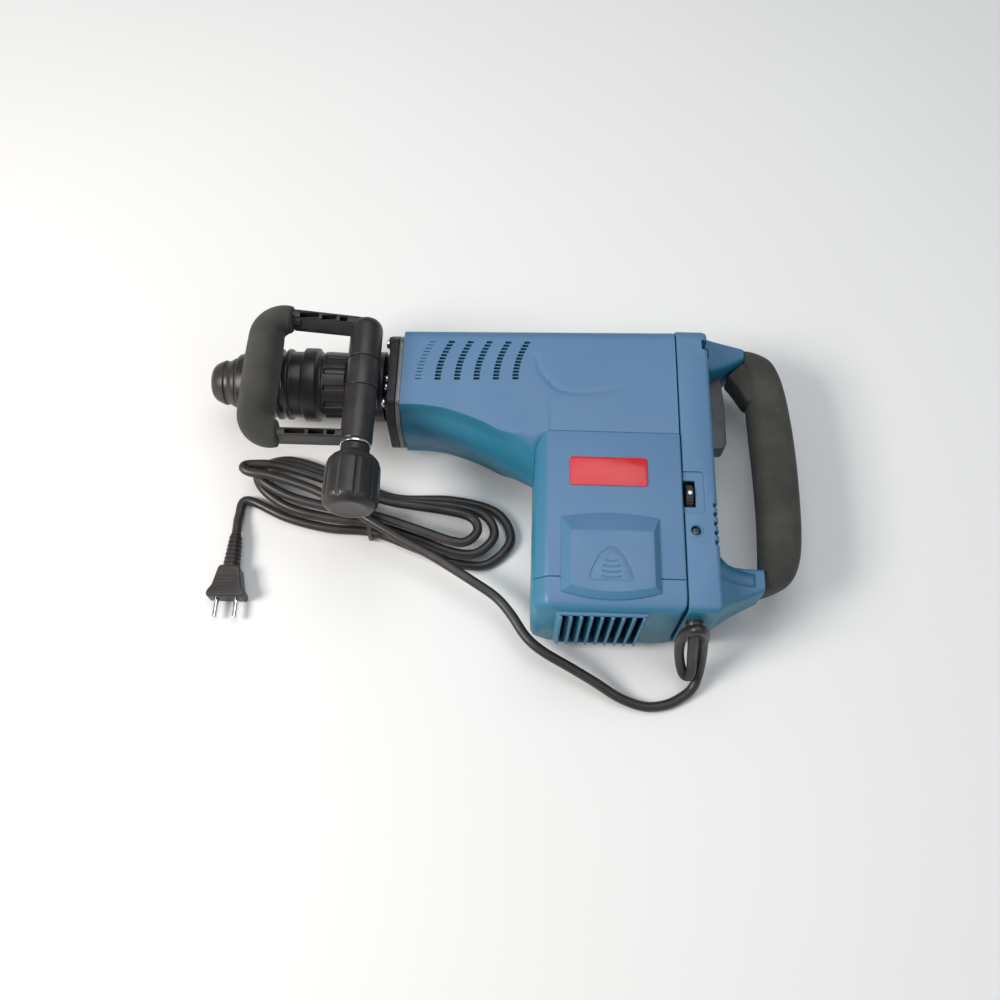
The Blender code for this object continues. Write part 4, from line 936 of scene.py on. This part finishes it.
def foam_grip():
    """Soft grip, swept from the upper arm round to the lower one."""
    stations = [((447.6, 47.0), (447.6, 31.0), 18.0), ((458.0, 46.8), (449.5, 21.0), 18.4),
                ((469.0, 43.0), (450.2, 12.0), 18.6), ((478.5, 35.5), (450.5, 3.0), 18.7),
                ((485.0, 20.0), (450.3, -8.0), 18.7), ((489.5, -3.0), (450.3, -25.0), 18.6),
                ((492.5, -38.0), (450.8, -50.0), 18.5), ((493.7, -72.0), (451.7, -78.0), 18.5),
                ((493.6, -105.0), (452.2, -108.0), 18.5), ((492.7, -136.0), (452.0, -135.0), 18.5),
                ((490.7, -160.0), (451.2, -157.0), 18.6), ((486.7, -180.0), (450.4, -173.0), 18.7),
                ((478.5, -196.0), (449.9, -182.0), 18.7), ((465.0, -205.0), (449.6, -187.5), 18.5),
                ((449.6, -211.0), (449.6, -190.0), 18.0)]
    flat = smooth_line([(*o, *i) for o, i, _ in stations], 4)
    heights = smooth_line([(h, 0.0) for _, _, h in stations], 4)
    rings = []
    for values, height in zip(flat, heights):
        outer, inner = Vector(values[:2]), Vector(values[2:])
        middle, reach = (outer + inner) / 2, (outer - inner) / 2
        ring = []
        for k in range(40):
            angle = 2 * math.pi * k / 40
            c, s = math.cos(angle), math.sin(angle)
            u = math.copysign(abs(c)**0.82, c)
            v = math.copysign(abs(s)**0.82, s)
            spot = middle + reach * u
            ring.append((spot.x, spot.y, height[0] * v))
        rings.append(ring)
    grip = skin("rear_foam_grip", rings)
    corner = fillet([(431.5, 17.0), (446.0, 31.0), (456.0, 31.0), (456.0, -12.0), (449.0, -12.0),
                     (440.0, 4.0)], 3.0, 4)
    gusset = prism("gusset", corner, -13.0, 13.0, "Z", 3.0, 3)
    join(grip, gusset)
    return stand_for(grip, "rear_grip", degrees=45)


foam_grip()


# --- Trigger and dial ---


def trigger():
    outline = [(397.2, 14.0), (409.0, 17.3), (422.0, 17.3), (424.6, 14.5), (426.8, -20.0),
               (426.4, -58.0), (424.0, -63.5), (402.0, -66.0), (397.2, 2.0)]
    paddle = prism("trigger_paddle", fillet(outline, 2.2, 3), -9.9, 9.9, "Z", 2.0, 4)
    ribs = [brick("rib", (424.6, y - 0.5, -7.0), (430.0, y + 0.5, 7.0)) for y in range(-54, 10, 4)]
    cut(paddle, merge("ribs", *ribs))
    tone = black_plastic("trigger_plastic", srgb(62, 66, 72), srgb(92, 90, 86))
    return stand_for(paddle, "trigger", material=tone)


def dial():
    centre = (dial_low + dial_high) / 2
    radius = (dial_high.z - dial_low.z) / 2 - 0.2
    half = (dial_high.x - dial_low.x) / 2 - 0.2

    def knurl(along, r, angle):
        if r < radius - 1.5 or abs(along) > half - 0.5:
            return r
        return r - 0.6 * max(0.0, math.cos(24 * angle))**3

    profile = fillet([(-half, 0.0), (-half, radius), (half, radius), (half, 0.0)], 0.9, 3, False)
    wheel = lathe("dial_wheel", profile, "X", centre, 240, knurl)
    stand_for(wheel, "speed_dial")
    dot = lathe("dial_dot", [(radius - 0.7, 0.0), (radius - 0.7, 1.9), (radius + 0.05, 1.8),
                             (radius + 0.15, 1.5), (radius + 0.15, 0.0)], "Z",
                centre, 24)
    white = Nodes("dial_mark")
    white.bump(white.noise(300.0), 0.1, 0.0002)
    speck = white.mix(white.ramp(white.noise(200.0), 0.4, 0.7, 0.0, 0.3), (0.85, 0.85, 0.83),
                      (0.6, 0.6, 0.58))
    dress(dot, "speed_dial", material=white.finish(speck, 0.4))


trigger()
dial()


# --- Front cover ---


BOLTS = ((27.0, 37.0), (-38.0, 36.0), (27.0, -37.0), (-38.0, -36.0))  # y and z of each


def bolt_holes(end):
    return merge("holes", *(rod(90.0, end, 2.9, "X", (0.0, y, z), 24) for y, z in BOLTS))


def front_casting():
    half = cover_high.z
    top = cover_high.y
    front, strip_at = 98.0, 107.0
    shape = [(top - 0.5, -half + 13.0), (top - 12.5, -half + 0.5), (-43.0, -half + 0.5),
             (-55.5, -half + 22.0), (-55.5, half - 22.0), (-43.0, half - 0.5),
             (top - 12.5, half - 0.5), (top - 0.5, half - 13.0)]
    shape = fillet(shape, 5.0, 4)
    flange = prism("front_flange", shape, front, strip_at - 0.2, "X", 1.2, 3)
    neck = lathe("neck", fillet([(46.0, 17.0), (46.0, 26.0), (48.0, 28.0), (90.0, 28.0),
                                 (97.0, 36.0), (100.0, 36.0), (100.0, 17.0)], 2.0, 3), "X")
    boss = fillet([(96.2, 0.0), (96.2, 6.8), (100.0, 7.6), (100.0, 0.0)], 0.5, 2, False)
    join(flange, neck, *(lathe("boss", boss, "X", (0.0, y, z), 36) for y, z in BOLTS))
    cut(flange, bolt_holes(110.0))
    cut(flange, rod(62.0, 120.0, 25.8), rod(40.0, 64.0, 16.4))
    stand_for(flange, "front_cover")
    plate = prism("flange_strip", shape, strip_at, cover_high.x, "X", 0.5, 2)
    cut(plate, rod(100.0, 120.0, 26.0), bolt_holes(120.0))
    dress(plate, "front_cover", slot="aluminium", material=STRIP_METAL)
    for i, y in enumerate((-15.7, -24.5), 1):
        profile = fillet([(95.6, 0.0), (95.6, 2.6), (98.3, 2.8), (98.3, 0.0)], 0.5, 3, False)
        head = lathe(f"cover_screw_{i}", profile, "X", (0.0, y, 42.5), 32)
        cut(head, brick("cross", (94.0, y - 0.4, 40.9), (96.4, y + 0.4, 44.1)))
        dress(head, "flange_bolt_1")


front_casting()


# --- Nose ---


def nose():
    start = nose_low.x
    profile = [(start + 5.0, 10.2), (start + 1.0, 10.6), (start, 11.6), (start, 13.2),
               (start + 1.2, 15.8), (start + 4.0, 18.6), (start + 8.0, 20.6), (start + 12.5, 22.4),
               (start + 13.6, 22.4), (start + 14.6, 21.3), (start + 18.0, 22.2),
               (start + 22.0, 24.6), (start + 24.6, 25.5), (nose_high.x, 25.5),
               (nose_high.x, 16.5), (start + 5.0, 16.5)]
    cap = lathe("nose_boot", fillet(profile, 0.9, 3), "X", steps=96)
    stand_for(cap, "nose_cap")
    a = sleeve_low.x
    rings = [(a, 17.6), (a, 26.6), (a + 1.2, 28.4), (a + 4.0, 29.4), (a + 14.0, 31.9),
             (a + 24.0, 33.8), (a + 31.0, 35.2), (a + 34.0, 35.2), (a + 36.0, 31.9),
             (a + 38.6, 31.9), (a + 40.4, 35.4), (a + 43.6, 35.4), (a + 45.6, 31.9),
             (a + 48.2, 31.9), (a + 50.0, 35.5), (a + 53.2, 35.5), (a + 55.0, 33.0),
             (sleeve_high.x, 33.0), (sleeve_high.x, 21.0), (a + 36.0, 21.0), (a + 36.0, 17.6)]
    sleeve = lathe("sleeve", fillet(rings, 0.9, 3), "X", steps=96)
    stand_for(sleeve, "locking_sleeve")
    b = vario_low.x

    def castle(along, r, angle):
        if r < 31.5 or along < b + 22.0:
            return r
        wave = (angle * 12 / (2 * math.pi) + 0.33) % 1.0
        depth = 2.2 * max(0.0, 1.0 - (abs(wave - 0.5) / 0.19)**6)
        fade = min(1.0, (along - b - 22.0) / 1.6)
        return r - depth * fade

    rim = [(b, 33.8), (b, 34.8), (b + 1.4, 36.8), (b + 14.0, 36.8), (b + 15.6, 34.2),
           (b + 17.0, 33.0), (b + 18.8, 31.8), (b + 20.0, 32.4), (b + 21.0, 33.4),
           (b + 22.0, 33.6), (b + 23.8, 33.55), (b + 42.0, 33.1), (b + 43.4, 32.8),
           (vario_high.x, 31.6), (vario_high.x, 28.6), (b + 15.6, 28.6), (b + 15.1, 33.8)]
    collar = lathe("vario_collar", fillet(rim, 0.5, 2), "X", steps=288, shape=castle)
    stand_for(collar, "vario_ring", degrees=38)


nose()


# --- Side handle ---


def clamp():
    low_y, high_y = -40.3, -10.0
    band = lathe("clamp_ring", fillet([(band_low.x, 28.4), (band_low.x, 34.9),
                                       (band_high.x - 0.05, 34.9), (band_high.x - 0.05, 28.4)],
                                      1.2, 3), "X", steps=96)
    barrel = lathe("barrel", fillet([(low_y, 6.2), (low_y, 15.0), (high_y, 15.0), (high_y, 6.2)],
                                    0.7, 3), "Y", COLUMN, 72)
    web = prism("web", fillet([(65.0, 26.0), (89.0, 26.0), (90.5, 44.0), (90.0, COLUMN_Z),
                               (64.0, COLUMN_Z), (63.5, 44.0)], 1.0, 3), low_y + 0.6, high_y - 0.6,
                "Y", 1.0, 3)
    join(band, web, barrel)
    bore = rod(-60.0, 10.0, 6.2, "Y",
                 COLUMN, 48)
    inside = rod(50.0, 100.0, 28.4, "X",
                   steps=96)
    cut(band, bore, inside)
    stand_for(band, "clamp_band")
    ring = lathe("washer_ring", fillet([(washer_low.y, 6.4), (washer_low.y, 14.2),
                                        (washer_high.y, 14.2), (washer_high.y, 6.4)], 0.5, 3), "Y",
                 COLUMN, 72)
    stand_for(ring, "knob_washer")


def knob():
    low, high = knob_low.y, knob_high.y
    radius = (knob_high.x - knob_low.x) / 2
    profile = [(high - 25.0, 0.0), (high - 25.0, 6.2), (high, 6.2), (high, 13.3),
               (high - 7.6, 13.3), (high - 9.0, 15.5),
               (high - 12.0, 20.0), (high - 16.0, 23.2), (high - 20.0, 24.6), (high - 30.0, 25.1),
               (low + 14.0, radius), (low + 8.0, radius), (low + 4.6, radius - 1.6),
               (low + 0.6, 19.6), (low, 17.0), (low + 0.5, 12.0), (low + 0.9, 0.0)]

    def lobes(along, r, angle):
        if r < 20.5:
            return r
        fade = min(1.0, max(0.0, (high - 12.0 - along) / 6.0), max(0.0, (along - low - 3.0) / 4.0))
        return r - 1.25 * fade * max(0.0, math.cos(10 * angle))**5

    body = lathe("knob_body", fillet(profile, 1.2, 4, False), "Y", COLUMN, 240,
                 lobes)
    stand_for(body, "clamp_knob", degrees=40)


LEG_X = (5.0, 73.0)


def leg(outer, inner, foot):
    """One leg of the D handle between two x stations; each list holds a y for both ends."""
    rings = []
    for i, x in enumerate(LEG_X):
        outline = fillet([(outer[i], 70.0), (inner[i], 70.0), (foot[i], 50.0), (outer[i], 50.0)],
                         2.2, 3)
        rings.append([(x, y, z) for y, z in outline])
    return skin("leg", rings)


D_GRIP_X, D_TOP, D_BOTTOM, D_CORNER = -18.5, 36.5, -87.5, 20.0


def d_line(start, steps=8):
    upper = arc((D_GRIP_X + D_CORNER, D_TOP - D_CORNER), D_CORNER, 90, 180, steps)
    lower = arc((D_GRIP_X + D_CORNER, D_BOTTOM + D_CORNER), D_CORNER, 180, 270, steps)
    side = [(D_GRIP_X, D_TOP - D_CORNER + (D_BOTTOM - D_TOP + 2 * D_CORNER) * k / 10)
            for k in range(1, 10)]
    line = [(start, D_TOP), *upper, *side, *lower, (start, D_BOTTOM)]
    return [(x, y, COLUMN_Z - 1.0) for x, y in line]


def d_handle():
    upper = lathe("d_frame", fillet([(-9.4, 6.2), (-9.4, 15.1), (-8.4, 15.3), (27.0, 15.3),
                                     (32.0, 13.2), (35.5, 9.0), (37.0, 3.0), (37.0, 0.0),
                                     (28.0, 0.0), (28.0, 6.2)], [0.3, 0.8, 0, 4, 4, 3, 2, 0, 0, 0],
                                    3), "Y", COLUMN, 72)
    sleeve = lathe("lower", fillet([(-96.5, 6.2), (-96.5, 14.0), (-95.0, 14.9), (-41.6, 14.9),
                                    (-40.7, 14.4), (-40.7, 6.2)], 0.6, 3), "Y", COLUMN, 72)
    legs = [leg((43.5, 36.5), (35.5, 28.5), (30.0, 24.0)),
            leg((-93.3, -93.3), (-85.0, -85.0), (-79.5, -79.5))]
    bar = tube("bar", d_line(12.0), 6.0, 20)
    join(upper, *legs, bar)
    join(upper, sleeve)
    hole = rod(-110.0, 28.0, 6.1, "Y", COLUMN, 40)
    cut(upper, hole)
    windows = []
    for x0, x1, x_mid in ((12.5, 31.0, 22.0), (34.0, 48.0, 41.0), (51.0, 58.5, 55.0)):
        y = 38.6 - 0.1 * x_mid
        for edge in (y, -89.1):
            outline = fillet([(x0, edge - 2.4), (x1, edge - 2.4), (x1, edge + 2.4),
                              (x0, edge + 2.4)], 0.8, 3)
            windows.append(prism("window", outline, 62.0, 80.0))
    cut(upper, merge("windows", *windows))
    upper.name = "d_frame"
    stand_for(upper, "d_handle_frame")
    line = smooth_line(d_line(4.6, 6), 4)
    count = len(line) - 1
    radii = []
    for i in range(count + 1):
        t = i / count
        swell = max(0.0, math.sin(math.pi * t))**0.6
        radii.append(11.4 + 6.2 * swell)
    radii[0] = radii[-1] = 10.4
    grip = tube("d_foam_grip", line, radii, 40)
    stand_for(grip, "d_grip", degrees=50)


clamp()
knob()
d_handle()


# --- Cord ---

CORD_R = 4.4
CORD_FLOOR = cord_low.z + CORD_R
PLUG = ((plug_low.x + plug_high.x) / 2, plug_low.y + 16.0, (plug_low.z + plug_high.z) / 2)
GROMMET = ((grommet_low.x + grommet_high.x) / 2, -242.0, (grommet_low.z + grommet_high.z) / 2)
COIL_TURNS = 3
TURN_RISE = 9.6
TURN_SHRINK = 0.27
COIL_LOOP = [(-34.0, -98.0), (-4.0, -124.0), (38.0, -134.0), (83.0, -137.0), (128.0, -153.0),
             (166.0, -167.0), (198.0, -167.0), (220.0, -141.0), (205.0, -112.0), (160.0, -100.0),
             (100.0, -99.0), (48.0, -78.0), (-6.0, -62.0), (-36.0, -74.0)]
COIL_MIDDLE = ((-25.0, -88.0), (160.0, -138.0))


def coil_points():
    """The loops of the resting coil, from its left end along the bottom and back over the top."""
    start, end = (Vector(place) for place in COIL_MIDDLE)
    run = end - start
    made = []
    for turn in range(COIL_TURNS):
        for i, place in enumerate(COIL_LOOP):
            here = Vector(place)
            share = min(1.0, max(0.0, (here - start).dot(run) / run.length_squared))
            here = here.lerp(start + run * share, TURN_SHRINK * turn)
            climb = max(0.0, (i - 11.0) / 3.0)
            made.append((here.x, here.y, CORD_FLOOR + TURN_RISE * (turn + climb)))
    return made


def cord_points():
    x, y, z = PLUG
    floor = CORD_FLOOR
    tail = [(x, y + 45.0, z), (x - 0.3, y + 56.0, z - 1.0), (x - 1.0, y + 72.0, floor + 1.0),
            (x + 5.0, y + 90.0, floor)]
    high = floor + TURN_RISE * COIL_TURNS
    tip = [(-41.0, -77.5, high - 4.0), (-47.5, -82.5, high - 1.0), (-40.0, -88.0, high)]
    away = [(-19.0, -91.0, high), (10.0, -99.5, high), (36.0, -110.0, high), (84.0, -136.5, high),
            (118.0, -156.0, high - 1.0), (148.0, -171.5, high - 2.0), (187.0, -195.0, -26.0),
            (208.0, -209.0, -27.0), (222.0, -224.5, -27.5), (234.5, -243.0, -28.0),
            (244.5, -253.5, -28.0), (258.0, -262.5, -29.0), (276.0, -271.5, -32.0),
            (301.0, -283.5, -40.0), (325.0, -296.0, -47.5), (348.0, -302.5, floor),
            (367.0, -300.5, floor), (382.5, -293.0, floor), (393.0, -284.0, -48.0),
            (397.5, -271.5, -38.0), (397.5, -261.0, -20.0), (395.5, -254.0, 0.0),
            (394.5, -252.0, 14.0), (391.0, -252.0, 25.0), (385.0, -252.0, 30.5),
            (379.0, -252.0, 25.0), (375.5, -252.0, 14.0), (375.0, -254.0, 0.0),
            (376.0, -260.0, -15.0), (379.0, -268.0, -28.0), (383.0, -275.0, -36.0),
            (387.5, -276.5, -34.5), (388.5, -272.0, -26.0), (387.0, -264.0, -12.0),
            (385.5, -256.5, 4.0)]
    gx, gy, gz = GROMMET
    last = [(gx, gy - 8.0, gz - 1.0), (gx, gy - 3.0, gz), (gx, gy + 8.0, gz)]
    return tail + coil_points()[1:-1] + tip + away + last


def cord():
    line = smooth_line(cord_points(), 8)
    body = tube("mains_cord", line, CORD_R + 0.25, 16)
    stand_for(body, "power_cord", degrees=60)
    gx, gy, gz = GROMMET
    boot = lathe("cord_boot", fillet([(-5.2, 5.0), (-5.2, 6.4), (-4.0, 7.6), (-1.6, 8.0),
                                      (5.8, 8.0), (5.8, 5.0)], 0.8, 3), "Y", GROMMET, 48)
    stand_for(boot, "cord_grommet")


def cable_tie():
    """A strap that holds the loops of the coil together."""
    outline = fillet([(-145.5, -52.6), (-145.5, -40.0), (-139.0, -20.8), (-124.5, -17.0),
                      (-120.5, -24.0), (-124.0, -44.0), (-128.0, -52.6)], 4.0, 4)
    rings = []
    for grow in (0.0, 1.3):
        centre = Vector((-134.0, -36.0))
        rings.append([Vector(p) + (Vector(p) - centre).normalized() * grow for p in outline])
    bm_rings = [[(80.2, y, z) for y, z in rings[0]], [(80.2, y, z) for y, z in rings[1]],
                [(83.8, y, z) for y, z in rings[1]], [(83.8, y, z) for y, z in rings[0]]]
    bm_rings.append(bm_rings[0])
    strap = skin("cable_tie", bm_rings, False, False)
    return dress(strap, "power_cord", slot="black_plastic")


def plug():
    x, y, z = PLUG
    half = [(18.5, -16.0), (18.5, -10.5), (14.5, -5.0), (10.5, 14.0), (8.0, 16.0)]
    outline = [(x + a, y + b) for a, b in half] + [(x - a, y + b) for a, b in reversed(half)]
    body = prism("plug", fillet(outline, 2.5, 4), z - 8.9, z + 8.9, "Z", 3.4, 4)
    profile = [(10.0, 0.0), (10.0, 8.4)]
    start, end, ribs = 15.0, 50.0, 8
    for i in range(ribs):
        a = start + (end - start) * i / ribs
        b = start + (end - start) * (i + 0.55) / ribs
        c = start + (end - start) * (i + 1) / ribs
        r = 8.5 - 2.6 * i / ribs
        profile += [(a + 0.2, r), (b, r - 0.2), (b + 0.3, r - 1.3), (c - 0.1, r - 1.5)]
    profile += [(end, 5.4), (end, 0.0)]
    relief = lathe("relief", profile, "Y", PLUG, 40)
    join(body, relief)
    channel = rod(41.0, 60.0, 4.8, "Y", PLUG, 32)
    cut(body, channel)
    marks = [brick("mark", (x - 9.0, y + b, z + 8.3), (x + 9.0, y + b + 1.2, z + 12.0))
             for b in (-7.0, -3.5, 0.0, 3.5)]
    cut(body, merge("marks", *marks))
    for step in (-1, 1):
        seat = rod(-30.0, -10.0, 2.75, "Y",
                     (x + step * 9.5, y, z), 24)
        cut(body, seat)
    stand_for(body, "plug_body")
    for i, step in enumerate((-1, 1), 1):
        profile = fillet([(-35.0, 0.0), (-35.0, 2.4), (-10.5, 2.4), (-10.5, 0.0)], 1.0, 4, False)
        pin = lathe(f"pin_{i}", profile, "Y", (x + step * 9.5, y, z), 32)
        stand_for(pin, f"plug_pin_{i}")


cord()
cable_tie()
plug()


# --- Springs ---


def spring(node, middle, radius, turns, wire):
    """Coil along X over the length of the CAD node's box."""
    low, high = box(node)
    first, last = low.x + wire, high.x - wire
    steps = round(turns * 20)
    points = []
    for i in range(steps + 1):
        angle = 2 * math.pi * turns * i / steps
        points.append((first + (last - first) * i / steps, middle + radius * math.cos(angle),
                       radius * math.sin(angle)))
    coil = stand_for(tube(f"{node}_coil", points, wire, 10), node)
    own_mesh(coil)


spring("sleeve_spring", 0.0, 18.4, 3.5, 0.9)
spring("trigger_spring", -42.0, 3.8, 4.0, 0.6)


# --- CAD nodes that stay ---

for node, obj in frame["nodes"].items():
    shade(obj, 35)
    obj.data.materials.clear()
    obj.data.materials.append(MATERIALS[NODE_SLOT[node]])


# --- Stage ---


FLOOR_SIZE = 6.0
WORLD_LIGHT = 0.27
TARGET = Vector((0.21, -0.12, 0.0))
# Each lamp: place, power, width and colour
LAMPS = {"key": ((-1.25, -0.60, 1.30), 36.0, 0.7, (1.0, 0.95, 0.89)),
         "fill": ((1.2, -0.7, 1.3), 4.0, 1.2, (0.92, 0.96, 1.0)),
         "top": ((0.3, 0.45, 2.0), 17.0, 1.5, (0.97, 0.99, 1.0))}
LOOK_AT = Vector((208.9, -120.5, 0.0)) * MM
HEADING, ELEVATION, DISTANCE, LENS, SENSOR = 1.8, 66.0, 944.3 * MM, 35.64, 36.0


def stage():
    bm = bmesh.new()
    bmesh.ops.create_grid(bm, x_segments=1, y_segments=1, size=FLOOR_SIZE / 2)
    floor = to_object("floor", bm)
    floor.location = (0.2, -0.1, cad_box[0][2] - 0.0002)
    made = Nodes("floor_paint")
    tone = made.mix(made.ramp(made.noise(3.0, 2.0), 0.3, 0.7, 0.0, 0.4), (0.80, 0.80, 0.80),
                    (0.77, 0.77, 0.775))
    made.bump(made.noise(200.0, 2.0), 0.03, 0.0003)
    floor.data.materials.append(made.finish(tone, 0.75))
    world = bpy.data.worlds.new("studio")
    scene.world = world
    world.use_nodes = True
    world.node_tree.nodes["Background"].inputs["Color"].default_value = (0.90, 0.95, 1.0, 1.0)
    world.node_tree.nodes["Background"].inputs["Strength"].default_value = WORLD_LIGHT
    scene.view_settings.view_transform = "Standard"
    for name, (place, power, width, tint) in LAMPS.items():
        light = bpy.data.lights.new(name, "AREA")
        light.energy = power
        light.size = width
        light.color = tint
        lamp = bpy.data.objects.new(name, light)
        lamp.location = place
        lamp.rotation_mode = "QUATERNION"
        lamp.rotation_quaternion = (TARGET - lamp.location).to_track_quat("-Z", "Y")
        scene.collection.objects.link(lamp)


def camera():
    """The viewing angle: high above the hammer's left side, from the motor's end."""
    heading, height = math.radians(HEADING), math.radians(ELEVATION)
    back = Vector((math.sin(heading) * math.cos(height), -math.cos(heading) * math.cos(height),
                   math.sin(height)))
    right = Vector((math.cos(heading), math.sin(heading), 0.0))
    made = bpy.data.objects.new("camera", bpy.data.cameras.new("camera"))
    scene.collection.objects.link(made)
    made.data.lens = LENS
    made.data.sensor_width = SENSOR
    made.location = LOOK_AT + back * DISTANCE
    made.rotation_mode = "QUATERNION"
    made.rotation_quaternion = Matrix((right, back.cross(right), back)).transposed().to_quaternion()
    scene.camera = made


stage()
camera()
